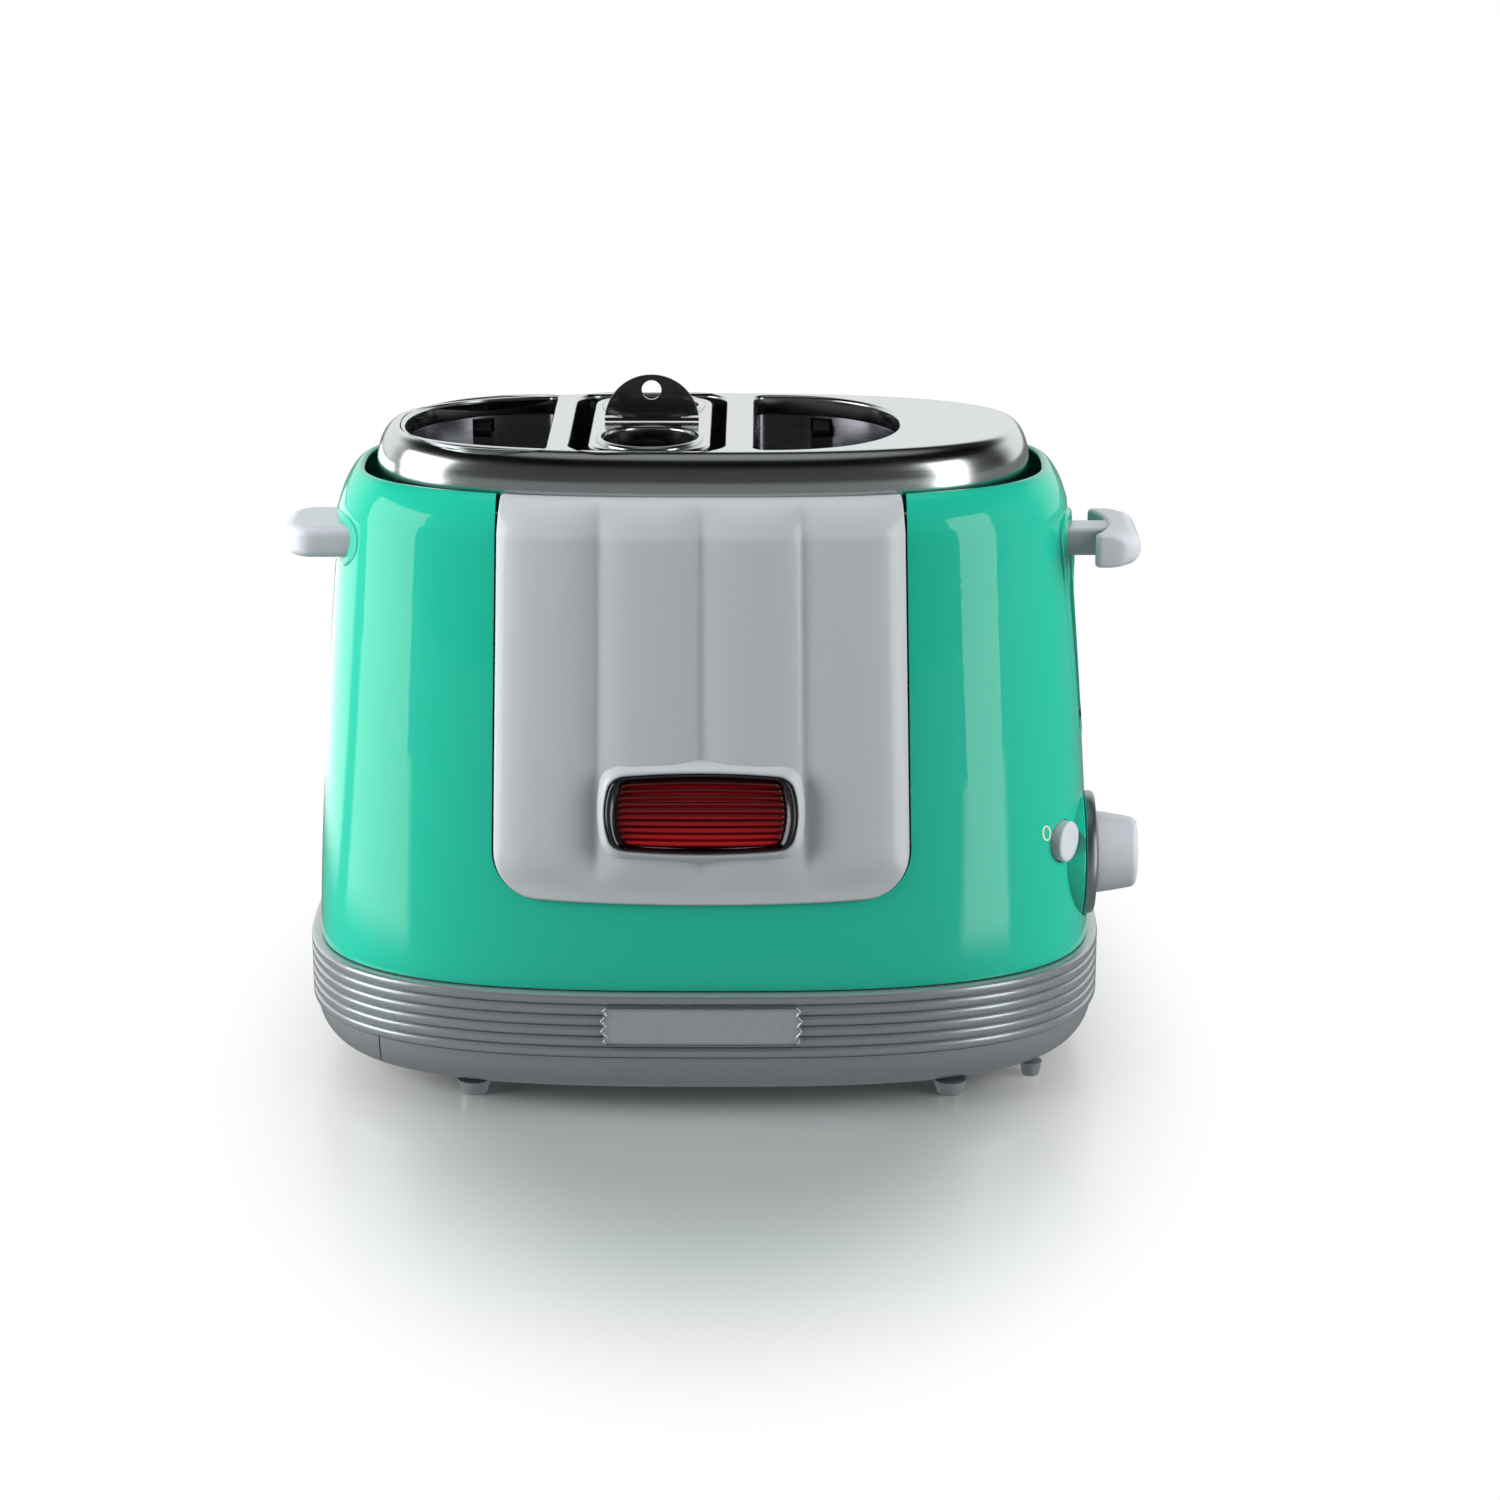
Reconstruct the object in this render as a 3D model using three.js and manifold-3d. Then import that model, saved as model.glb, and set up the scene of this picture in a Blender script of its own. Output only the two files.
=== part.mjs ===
// Hot dog toaster: two bun slots, a lift-out sausage cage between them, and a lever that lowers all three.
// Millimetres, +Z up. +X is the lever's side, -Y is the front.
import * as THREE from "three";
import { mergeVertices } from "three/addons/utils/BufferGeometryUtils.js";
import Module from "manifold-3d";

const wasm = await Module();
wasm.setup();

// Fits
const fit = 0.3; // between pieces that touch
const running = 0.4; // between pieces that slide or turn
const overrun = 2; // how far a cut runs past what it cuts

// Body outline, a superellipse in plan that narrows upwards; its width and depth follow from what it holds
const widthDraft = 11.1;
const depthDraft = 19;
const draftPowerShare = 1.35;
const cornerPower = 2.9;
const cornerPowerLossShare = 0.25;
const ringStations = 60;

// Heights, from the floor up
const footHeight = 5;
const bowlHeight = 14.6;
const ribCount = 6;
const ribPitch = 3.55;
const shellHeight = 153.5;
const lidRise = 12.4;

// Walls and sheets
const shellWall = 2.2;
const panWall = 2.4;
const bandWall = 4;
const lidSheet = 1.2;
const sheet = 1.2;
const linerSheet = 1;

// Base band and bowl
const ribProud = 3.2;
const grooveProud = 1.9;
const ribShoulder = 0.8;
const bowlProud = 1.8;
const bowlCornerWidth = 15;

// Rolled rim of the shell
const rimRollHeight = 11;
const rimRollIn = 7.2;
const rimLip = 1.4;

// Front panel
const panelTopHalf = 63.2;
const panelBottomHalf = 65.7;
const panelBottomUp = 29.5; // above the shell's bottom edge
const panelBottomBow = 2;
const panelCorner = 15;
const panelProud = 0.8;
const columnCrest = 1.9;
const columnCount = 4;
const columnFade = 9;
const columnFadeShare = 0.45; // of the crest, where the columns have faded

// Badge on the front panel
const badgeUp = 58; // its centre above the shell's bottom edge
const surroundHalfWidth = 31.4;
const surroundHalfHeight = 14.9;
const surroundProud = 4.6;
const badgeFloorProud = 1.8;
const badgeFrameHalfWidth = 29.8;
const badgeFrameHalfHeight = 12.6;
const badgeFrameProud = 5.2;
const lensHalfWidth = 27.2;
const lensHalfHeight = 11;
const lensProud = 3.6;
const lensRibDepth = 0.6;
const lensRibs = 10;
const lensRibShares = [0.35, 0.75]; // where each rib's flat top starts and ends
const badgeBarrel = 0.9;
const badgeCorner = 3.6;

// Name plate on the base band, left bare
const plateHalfWidth = 30.4;
const plateHalfHeight = 6.7;
const plateEndBulge = 1.6;
const plateFloorProud = 1.2;
const plateProud = 3.9;
const plateEndSteps = 6;

// Lid
const lidGapWide = 3.5; // between the lid and the shell's rolled rim
const lidGapDeep = 0.8;
const lidMargin = 7; // from the cage's opening to the lid's edge
const lidCornerPower = 2.6;
const lidEdge = 4;
const lidEdgeShares = [
  [0.2, 2],
  [0.34, 1],
  [0.6, 0.4],
  [1, 0],
];
const lidSkirt = 8; // below the shell's rim
const lidFlange = 4.8;
const collarDepth = 6;

// Bun slots and the cage's opening, seen from above
const leftRoom = 31.5; // from the left slot's round end to the body's widest
const leftBridge = 7.1; // between the left slot and the cage's opening
const rightBridge = 9.1;
const rightRoom = 63.9; // holds the lever, the timer and the board
const slotWidth = 46.4;
const slotShorter = 3; // than the cage's opening, at each end
const slotRoundPower = 2.2;
const slotCorner = 4;
const slotStations = 20;
const slotCornerSteps = 3;
const cageGapWide = 5.2; // around the cage
const cageGapLong = 3;
const wellCorner = 11;

// Chassis floor and what stands on it
const chassisInLeft = 21.6; // inside the body's widest
const chassisInRight = 19.6;
const chassisInDepth = 29;
const crumbHoleHalfWidth = 12;
const crumbHoleHalfLength = 30;
const heaterSheet = 0.9;
const heaterShorter = 1; // than the slot, at each end
const heaterOuterHalf = 24;
const heaterInnerDrop = 3.2; // below the liners' top
const heaterOuterDrop = 15.2;
const heaterNotch = 1.6;
const heaterNotches = 6;
const linerReturn = 7;
const linerWindowHalf = 19;
const linerWindowSill = 22;
const linerWindowDrop = 23.2; // below the liners' top
const clipHoleHalf = 3.4;
const clipHoleHeight = 4.4;
const clipHoleDrop = 1;
const clipShift = 1.2;
const endPlateGap = 4;
const leftEndHalf = 26;
const leftEndDrop = 19.2;
const rightEndHalf = 38;
const rightEndDrop = 7.2;
const endFlange = 3;

// Carriage and lever
const travel = 56;
const trayClearance = 1.8; // between the lowered trays and the chassis floor
const traySheet = 1.5;
const trayHalfWidth = 14;
const trayHalfLength = 26;
const platformHalfWidth = 12;
const platformHalfLength = 33;
const armHalfWidth = 3;
const armSlotGap = 0.7;
const armSlotHead = 7;
const beamGap = 2.4;
const beamThick = 2;
const beamHeight = 8;
const sidePlateGap = 6;
const sidePlateSheet = 1.5;
const sidePlateRear = 4;
const sidePlateFoot = 14;
const leverY = -14;
const leverDrop = 22.2; // below the shell's rim, at rest
const blockWidth = 14;
const blockHalfLength = 24;
const blockHalfHeight = 6;
const rodRadius = 2;
const rodSpread = 18;
const bracketGap = 5;
const armatureWidth = 12;
const armatureHalf = 8;
const armatureSheet = 2;
const springWire = 0.7;
const springRadius = 3.8;
const springCurls = 10;
const springSteps = 8;
const springSides = 5;

// Lever paddle
const paddleHalfLength = 18;
const paddleHalfHeight = 5.45;
const paddleProud = 12.1; // past the body's widest
const paddleDepth = 15.1;
const paddleWaist = 9.6;
const paddleCorner = 7;
const paddleHollow = 5.2;
const paddleEdge = 1.6;
const stemHalfWidth = 6;
const stemHalfHeight = 4.5;
const stemInside = 22.6; // inside the body's widest
const stemSlotGap = 0.7;
const barHalfWidth = 1.5;
const barHalfHeight = 3;
const barEnd = 3;

// Side grip on the left
const gripHalfLength = 15.3;
const gripHalfHeight = 5;
const gripProud = 6; // past the body's widest
const gripDrop = 20.5; // below the shell's rim
const gripCorner = 9;
const gripEdge = 2;

// Knob, dial and stop button
const knobY = -20;
const knobUp = 27.3; // above the shell's bottom edge
const knobRadius = 13;
const knobTipRadius = 11.3;
const knobLength = 13.6;
const knobEdge = 1.8;
const dialRadius = 20;
const dialThick = 3.5;
const dialEdge = 0.9;
const bossRadius = 21;
const bossFaceIn = 3.7; // inside the body's widest
const bossWall = 2.4;
const bossDepth = 9.9;
const shaftRadius = 3;
const shaftInKnob = 8;
const knobSegments = 32;
const buttonAngleDegrees = 31;
const buttonIn = 11.4; // inside the body's widest
const buttonFrontIn = 34.5; // inside its deepest
const buttonUp = 38.4;
const buttonRadius = 6.65;
const buttonProud = 2.7;
const buttonDeep = 2.2;
const buttonStemRadius = 2.4;
const buttonStem = 4.4;
const buttonTravel = 2.5;
const buttonEdge = 0.6;

// Electrical parts
const boardIn = 25.6; // inside the body's widest
const boardSheet = 1.6;
const boardHalf = 26;
const boardHeight = 54;
const timerHalf = 8;
const timerLength = 10.5;
const switchLength = 2.6;
const switchHalf = 4;
const magnetWidth = 11;
const magnetHalf = 9;
const magnetHeight = 21;
const magnetGap = 0.4;
const pedestalInset = 1;
const terminalX = 40;
const terminalHalfWidth = 10;
const terminalIn = 21; // inside the body's deepest
const terminalHalfDepth = 5;
const terminalHeight = 9;
const glandUp = 8;
const glandRadius = 4;
const glandFlangeRadius = 6;
const glandFlange = 2.2;
const glandInside = 7;

// Crumb tray
const trayEndLength = 23; // its own end of the bowl
const crumbTrayLength = 165.6;
const crumbTrayHalf = 38;
const crumbTrayWall = 7;
const crumbSheet = 1.2;

// Underside
const postInLeft = 42.6; // inside the body's widest
const postInRight = 58.6;
const postInDepth = 33;
const postRadius = 3.4;
const pilotRadius = 1.3;
const screwShankRadius = 1;
const screwHeadRadius = 2.8;
const screwHead = 1.2;
const screwLength = 12;
const floorOpeningHalfLength = 58;
const floorOpeningHalf = 28;
const ventHalfLength = 68;
const ventHalf = 34;
const ventSheet = 1.5;
const ventSlots = 9;
const ventSlotHalf = 1.5;
const ventMargin = 8;
const footInDepth = 18.5; // inside the body's deepest
const leftFootIn = 53;
const rightFootIn = 47;
const footTopRadius = 5.4;
const footBottomRadius = 4.2;
const sideFootIn = 20.1;
const sideFootInDepth = 33.5;
const sideFootTopRadius = 3.6;
const sideFootBottomRadius = 2.8;
const footSegments = 16;

// Sausage cage
const cageShift = 0.7; // from the middle of its opening
const cageMarginWide = 4.8; // around the holes
const cageMarginLong = 0.6;
const cageCorner = 10;
const cageSheet = 1.2;
const sausageY = 24;
const sausageRadius = 14.4;
const ringTube = 1.2;
const ringSegments = 24;
const cageBar = 1.6;
const cageBarWide = 4;
const cageBarSpread = 9;
const cageSink = 0.3; // its plate below the lid's top
const handleRadius = 15.1;
const handleSheet = 1.3;
const handleHoleRadius = 3.15;
const handleHoleUp = 10.2;
const handleY = 1;

// Widths and depths that follow
const cageHalfWidth = sausageRadius + cageMarginWide;
const cageHalfLength = sausageY + sausageRadius + cageMarginLong;
const wellHalfWidth = cageHalfWidth + cageGapWide;
const wellHalfLength = cageHalfLength + cageGapLong;
const slotHalfLength = wellHalfLength - slotShorter;
const halfWidth = slotWidth + wellHalfWidth + (leftRoom + leftBridge + rightBridge + rightRoom) / 2;
const lidHalfWidth = halfWidth - widthDraft - rimRollIn - lidGapWide;
const lidHalfDepth = wellHalfLength + lidMargin;
const halfDepth = lidHalfDepth + lidGapDeep + rimRollIn + depthDraft;
const leftSlotFlatX = leftRoom + slotWidth - halfWidth;
const wellCentreX = leftSlotFlatX + leftBridge + wellHalfWidth;
const rightSlotFlatX = wellCentreX + wellHalfWidth + rightBridge;
const cageX = wellCentreX + cageShift;
const heaterInnerHalf = slotHalfLength - heaterShorter;
const terminalY = halfDepth - terminalIn;

// Heights and places that follow
const bandBottom = footHeight + bowlHeight + fit;
const bandTop = bandBottom + ribCount * ribPitch;
const shellBottom = bandTop + fit;
const rimTop = shellBottom + shellHeight;
const lidTop = rimTop + lidRise;
const panFloorTop = footHeight + panWall;
const chassisFloorTop = shellBottom;
const chassisFloorBottom = chassisFloorTop - sheet;
const standing = chassisFloorTop + fit; // where pieces stand on the chassis floor
const trayDown = chassisFloorTop + trayClearance;
const trayRest = trayDown + travel;
const leverZ = rimTop - leverDrop;
const slotRightX = rightSlotFlatX + slotWidth;
const slotLeftX = leftSlotFlatX - slotWidth;
const linerTop = lidTop - collarDepth - fit;
const linerInner = fit;
const linerOuter = linerInner + linerSheet;
const leftSlotX = leftSlotFlatX - slotWidth / 2;
const rightSlotX = rightSlotFlatX + slotWidth / 2;
const rightEndX = slotRightX + linerOuter + heaterSheet + endPlateGap;
const leftEndX = slotLeftX - linerOuter - heaterSheet - endPlateGap;
const wellPlateY = wellHalfLength + fit;
const beamY = wellPlateY + linerSheet + beamGap;
const sidePlateX = rightEndX + sheet + sidePlateGap;
const blockX = sidePlateX + sidePlateSheet + fit;
const rodX = blockX + blockWidth / 2;
const rodFrontY = leverY - rodSpread;
const rodBackY = leverY + rodSpread;
const bracketZ = leverZ + blockHalfHeight + bracketGap;
const knobZ = shellBottom + knobUp;
const bossFaceX = halfWidth - bossFaceIn;
const dialBackX = bossFaceX + fit;
const knobBaseX = dialBackX + dialThick + running;
const panelBottom = shellBottom + panelBottomUp;
const chassisFloorLeft = chassisInLeft - halfWidth;
const chassisFloorRight = halfWidth - chassisInRight;
const chassisFloorHalfDepth = halfDepth - chassisInDepth;
const stemInsideX = halfWidth - stemInside;
const bossStartX = bossFaceX - bossDepth;
const buttonX = halfWidth - buttonIn;
const buttonY = buttonFrontIn - halfDepth;
const boardX = halfWidth - boardIn;
const trayFrontX = trayEndLength - halfWidth;
const crumbTrayRight = trayFrontX + crumbTrayLength;
const postLeftX = postInLeft - halfWidth;
const postRightX = halfWidth - postInRight;
const postY = halfDepth - postInDepth;
const frontFootY = halfDepth - footInDepth;
const leftFootX = leftFootIn - halfWidth;
const rightFootX = halfWidth - rightFootIn;
const sideFootX = halfWidth - sideFootIn;
const sideFootY = halfDepth - sideFootInDepth;
const badgeZ = shellBottom + badgeUp;
const plateZ = bandTop - (ribCount / 2) * ribPitch + fit;
const buttonAngle = THREE.MathUtils.degToRad(buttonAngleDegrees);
const cageTop = lidTop - cageSink;
const paddleReach = halfWidth + paddleProud;
const gripReach = halfWidth + gripProud;
const cageBottom = trayRest + traySheet + fit;

// Materials
const finish = (color, roughness, metalness) =>
  new THREE.MeshStandardMaterial({ color, roughness, metalness });
const mint = finish(0x32c8aa, 0.2, 0);
const panelWhite = finish(0xd9dcdd, 0.25, 0);
const trimWhite = finish(0xd4dade, 0.35, 0);
const silverPaint = finish(0xa9adb0, 0.4, 0.6);
const polishedSteel = finish(0x8c8c90, 0.15, 1);
const darkChrome = finish(0x55565a, 0.15, 1);
const redLens = finish(0xa00a0a, 0.15, 0);
const blackSteel = finish(0x0c0c0d, 0.3, 0.2);
const sheetSteel = finish(0x9a9ca0, 0.4, 1);
const blackPlastic = finish(0x151515, 0.5, 0);
const mica = finish(0xb8a888, 0.8, 0);
const boardGreen = finish(0x2f6b3a, 0.6, 0);
const copper = finish(0xb06a3a, 0.4, 1);
const zinc = finish(0xb9bcc0, 0.35, 1);

// A geometry as a solid that can be cut and joined
function solid(geometry) {
  const bare = new THREE.BufferGeometry();
  bare.setAttribute("position", geometry.getAttribute("position"));
  if (geometry.index) bare.setIndex(geometry.index);
  const merged = mergeVertices(bare);
  const faces = [];
  const index = merged.index.array;
  for (let i = 0; i < index.length; i += 3) {
    const [a, b, c] = [index[i], index[i + 1], index[i + 2]];
    if (a !== b && b !== c && c !== a) faces.push(a, b, c);
  }
  const build = (list) =>
    new wasm.Manifold(
      new wasm.Mesh({
        numProp: 3,
        vertProperties: merged.attributes.position.array,
        triVerts: new Uint32Array(list),
      }),
    );
  const made = build(faces);
  return made.volume() < 0 ? build(faces.reverse()) : made;
}

function geometryOf(body) {
  const mesh = body.getMesh();
  const geometry = new THREE.BufferGeometry();
  geometry.setAttribute("position", new THREE.BufferAttribute(mesh.vertProperties, 3));
  geometry.setIndex(new THREE.BufferAttribute(mesh.triVerts, 1));
  geometry.computeVertexNormals();
  return geometry;
}

const toaster = new THREE.Group();

function add(name, body, material) {
  const mesh = new THREE.Mesh(geometryOf(body), material);
  mesh.name = name;
  toaster.add(mesh);
}

// Simple solids by their limits
function block(x0, x1, y0, y1, z0, z1) {
  const geometry = new THREE.BoxGeometry(x1 - x0, y1 - y0, z1 - z0);
  return solid(geometry.translate((x0 + x1) / 2, (y0 + y1) / 2, (z0 + z1) / 2));
}

const shapeOf = (points) => new THREE.Shape(points.map(([x, y]) => new THREE.Vector2(x, y)));

// A flat outline raised from z0 to z1, less its holes, with its axes turned by a matrix
function raised(points, z0, z1, holes, axes) {
  const one = (outline, low, high) => {
    const geometry = new THREE.ExtrudeGeometry(shapeOf(outline), { depth: high - low, bevelEnabled: false });
    return solid(geometry.translate(0, 0, low).applyMatrix4(axes));
  };
  let body = one(points, z0, z1);
  holes.forEach((hole) => {
    body = body.subtract(one(hole, z0 - overrun, z1 + overrun));
  });
  return body;
}

const unitX = new THREE.Vector3(1, 0, 0);
const unitY = new THREE.Vector3(0, 1, 0);
const unitZ = new THREE.Vector3(0, 0, 1);
const asDrawn = new THREE.Matrix4();
const facingX = new THREE.Matrix4().makeBasis(unitY, unitZ, unitX);
const facingY = new THREE.Matrix4().makeBasis(unitX, unitZ, unitY);

// An outline in x and y from z0 to z1, one in y and z from x0 to x1, and one in x and z from y0 to y1
const prism = (points, z0, z1, holes = []) => raised(points, z0, z1, holes, asDrawn);
const prismX = (points, x0, x1, holes = []) => raised(points, x0, x1, holes, facingX);
const prismY = (points, y0, y1, holes = []) => raised(points, y0, y1, holes, facingY);

// A turned solid: its profile gives radius and distance along the axis
function turned(profile, segments, axis, place) {
  const points = profile.map(([radius, along]) => new THREE.Vector2(radius, along));
  const geometry = new THREE.LatheGeometry([...points, points[0]], segments);
  if (axis === "x") geometry.rotateZ(-Math.PI / 2);
  if (axis === "z") geometry.rotateX(Math.PI / 2);
  return solid(geometry.translate(...place));
}

function rod(radius, start, end, segments, axis, place) {
  const profile = [[0, start], [radius, start], [radius, end], [0, end]];
  return turned(profile, segments, axis, place);
}

// A rectangle with round corners, centred on zero
function roundedRectangle(halfX, halfY, corner, steps = 4) {
  const points = [];
  for (const [sx, sy, start] of [[1, -1, -90], [1, 1, 0], [-1, 1, 90], [-1, -1, 180]])
    for (let i = 0; i <= steps; i++) {
      const angle = THREE.MathUtils.degToRad(start + (90 * i) / steps);
      points.push([
        sx * (halfX - corner) + corner * Math.cos(angle),
        sy * (halfY - corner) + corner * Math.sin(angle),
      ]);
    }
  return points;
}

const shift = (points, dx, dy) => points.map(([x, y]) => [x + dx, y + dy]);

// Faces between neighbouring sections. A ring joins the last section to the first, otherwise both ends are closed.
function skin(sections, ring) {
  const loop = sections[0].length;
  const index = [];
  const spans = ring ? sections.length : sections.length - 1;
  for (let i = 0; i < spans; i++) {
    const here = i * loop;
    const next = ((i + 1) % sections.length) * loop;
    for (let k = 0; k < loop; k++) {
      const m = (k + 1) % loop;
      index.push(here + k, next + k, next + m, here + k, next + m, here + m);
    }
  }
  if (!ring) {
    const last = (sections.length - 1) * loop;
    const flat = sections[0].map(([, y, z]) => new THREE.Vector2(y, z));
    for (const [a, b, c] of THREE.ShapeUtils.triangulateShape(flat, [])) {
      const forward = THREE.ShapeUtils.isClockWise(flat);
      index.push(a, forward ? c : b, forward ? b : c);
      index.push(last + a, last + (forward ? b : c), last + (forward ? c : b));
    }
  }
  const geometry = new THREE.BufferGeometry();
  geometry.setAttribute("position", new THREE.Float32BufferAttribute(sections.flat(2), 3));
  geometry.setIndex(index);
  return geometry;
}

// The body's outline at a height
function outlineAt(z) {
  const share = THREE.MathUtils.clamp((z - shellBottom) / shellHeight, 0, 1);
  const draftShare = share ** draftPowerShare;
  return {
    width: halfWidth - widthDraft * draftShare,
    depth: halfDepth - depthDraft * draftShare,
    power: cornerPower - cornerPowerLossShare * share,
  };
}

const lidOutline = () => ({ width: lidHalfWidth, depth: lidHalfDepth, power: lidCornerPower });

// A point of an outline, moved out along its normal
function outlinePoint(outline, angle, out) {
  const c = Math.cos(angle);
  const s = Math.sin(angle);
  const x = outline.width * Math.sign(c) * Math.abs(c) ** (2 / outline.power);
  const y = outline.depth * Math.sign(s) * Math.abs(s) ** (2 / outline.power);
  const nx = Math.sign(x) * Math.abs(x / outline.width) ** (outline.power - 1) / outline.width;
  const ny = Math.sign(y) * Math.abs(y / outline.depth) ** (outline.power - 1) / outline.depth;
  const length = Math.hypot(nx, ny);
  return [x + (out * nx) / length, y + (out * ny) / length];
}

// A profile of offsets and heights swept round an outline. A null offset means the centre line.
function swept(profile, outline = outlineAt) {
  const sections = [];
  for (let i = 0; i < ringStations; i++) {
    const angle = (2 * Math.PI * i) / ringStations;
    sections.push(
      profile.map(([out, z]) => (out === null ? [0, 0, z] : [...outlinePoint(outline(z), angle, out), z])),
    );
  }
  return solid(skin(sections, true));
}

// The front surface at a sideways place and height, as a y value
function frontY(x, z) {
  const outline = outlineAt(z);
  const share = Math.min(Math.abs(x) / outline.width, 1);
  return -outline.depth * (1 - share ** outline.power) ** (1 / outline.power);
}

// A sheet on the front: loops of offset and height at stations across its width
function frontSheet(stations, halfAt, loopAt) {
  const sections = [];
  for (let i = 0; i <= stations; i++) {
    const across = (2 * i) / stations - 1;
    sections.push(
      loopAt(across).map(([out, z]) => {
        const x = across * halfAt(z);
        return [x, frontY(x, z) - out, z];
      }),
    );
  }
  return solid(skin(sections, false));
}

// Heights of the rows that follow the shell's curve
const wallRowShares = [0, 0.3, 0.58, 0.8];
const wallRows = wallRowShares.map((share) => shellBottom + share * shellHeight);
const rollStart = rimTop - rimRollHeight;
const rollShares = [
  [0.14, 0.36],
  [0.32, 0.64],
  [0.54, 0.87],
  [0.74, 0.98],
  [0.9, 1],
  [1, 0.96],
];
const rollPoints = rollShares.map(([inShare, upShare]) => [-inShare * rimRollIn, rollStart + upShare * rimRollHeight]);
const innerRollPoints = [
  [-rimRollIn, rimTop - rimLip],
  [-rimRollIn + rimLip, rimTop - 2 * rimLip],
  [-rimRollIn / 2, rollStart + rimRollHeight / 2],
  [-shellWall, rollStart],
];

// The panel's outline in x and z, grown by a gap
function panelOutline(gap) {
  const top = rimTop + overrun;
  const bottom = panelBottom - gap;
  const half = panelBottomHalf + gap;
  const steps = 5;
  const right = [];
  for (let i = 0; i <= steps; i++) {
    const angle = (Math.PI / 2) * (i / steps);
    const x = half - panelCorner * (1 - Math.sin(angle));
    const z = bottom + panelBottomBow + panelCorner * (1 - Math.cos(angle));
    right.push([x, z]);
  }
  const upper = [panelTopHalf + gap, top];
  const left = right.map(([x, z]) => [-x, z]).reverse();
  return [[0, bottom], ...right, upper, [-upper[0], top], ...left];
}

// The knob's axis and the button's axis
const knobPlace = [0, knobY, knobZ];
const buttonPlace = new THREE.Matrix4()
  .makeTranslation(buttonX, buttonY, shellBottom + buttonUp)
  .multiply(new THREE.Matrix4().makeRotationZ(-buttonAngle));
function alongButton(geometry) {
  return solid(geometry.rotateZ(-Math.PI / 2).applyMatrix4(buttonPlace));
}

function makeShell() {
  const outer = [...wallRows, rollStart].map((z) => [0, z]);
  const inner = [...wallRows].reverse().map((z) => [-shellWall, z]);
  let body = swept([...outer, ...rollPoints, ...innerRollPoints, ...inner]);
  const bossBackX = bossFaceX - bossWall;
  const lowRows = wallRows.slice(0, 3);
  const inside = swept([[null, lowRows[0]], ...lowRows.map((z) => [-fit, z]), [null, lowRows.at(-1)]]);
  const backing = rod(bossRadius + bossWall, bossStartX, halfWidth, knobSegments, "x", knobPlace);
  body = body.add(backing.intersect(inside));
  body = body.add(rod(bossRadius, bossStartX, bossFaceX, knobSegments, "x", knobPlace));
  body = body.subtract(rod(bossRadius - bossWall, 0, bossBackX, knobSegments, "x", knobPlace));
  body = body.subtract(rod(bossRadius, bossFaceX, halfWidth + overrun, knobSegments, "x", knobPlace));
  body = body.subtract(rod(shaftRadius + running, 0, halfWidth, knobSegments, "x", knobPlace));
  const hole = new THREE.CylinderGeometry(buttonRadius + fit, buttonRadius + fit, 8 * overrun, knobSegments);
  body = body.subtract(alongButton(hole));
  body = body.subtract(prismY(panelOutline(fit), -halfDepth - overrun, -halfDepth / 3));
  const slotHalf = stemHalfWidth + stemSlotGap;
  const slotTop = leverZ + stemHalfHeight + stemSlotGap;
  const slotBottom = leverZ - stemHalfHeight - travel - stemSlotGap;
  body = body.subtract(
    block(stemInsideX, halfWidth, leverY - slotHalf, leverY + slotHalf, slotBottom, slotTop),
  );
  add("outer_shell", body, mint);
}

// How far a column stands out across the panel, from 0 in a groove to 1 on its crest
function columnShare(across) {
  const along = ((across + 1) / 2) * columnCount;
  const place = along - Math.floor(along);
  return 4 * place * (1 - place);
}

function panelOut(across, z) {
  const low = THREE.MathUtils.clamp((z - panelBottom - columnFade) / columnFade, 0, 1);
  const high = THREE.MathUtils.clamp((rimTop - z - columnFade) / columnFade, 0, 1);
  const formed = Math.min(low, high);
  return panelProud + columnCrest * (formed * columnShare(across) + (1 - formed) * columnFadeShare);
}

// The outline of a badge piece: a rectangle whose sides bow outwards
function barrel(half, halfHeight) {
  const corners = roundedRectangle(half, halfHeight, badgeCorner);
  const bow = (share) => badgeBarrel * (1 - share * share);
  const points = [];
  corners.forEach(([x, y]) => {
    const along = x / half;
    const up = y / halfHeight;
    points.push([x + Math.sign(x) * bow(up), y + Math.sign(y) * bow(along)]);
  });
  return points;
}

// Puts a badge piece, drawn flat with z outwards, on the leaning front
function onFront(geometry, z) {
  const slope = (frontY(0, z + ribPitch) - frontY(0, z - ribPitch)) / (2 * ribPitch);
  const lean = Math.atan(slope);
  return geometry.rotateX(Math.PI / 2 - lean).translate(0, frontY(0, z), z);
}

function badgePrism(half, halfHeight, from, to) {
  const settings = { depth: to - from, bevelEnabled: false };
  const geometry = new THREE.ExtrudeGeometry(shapeOf(barrel(half, halfHeight)), settings);
  return solid(onFront(geometry.translate(0, 0, from), badgeZ));
}

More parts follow.
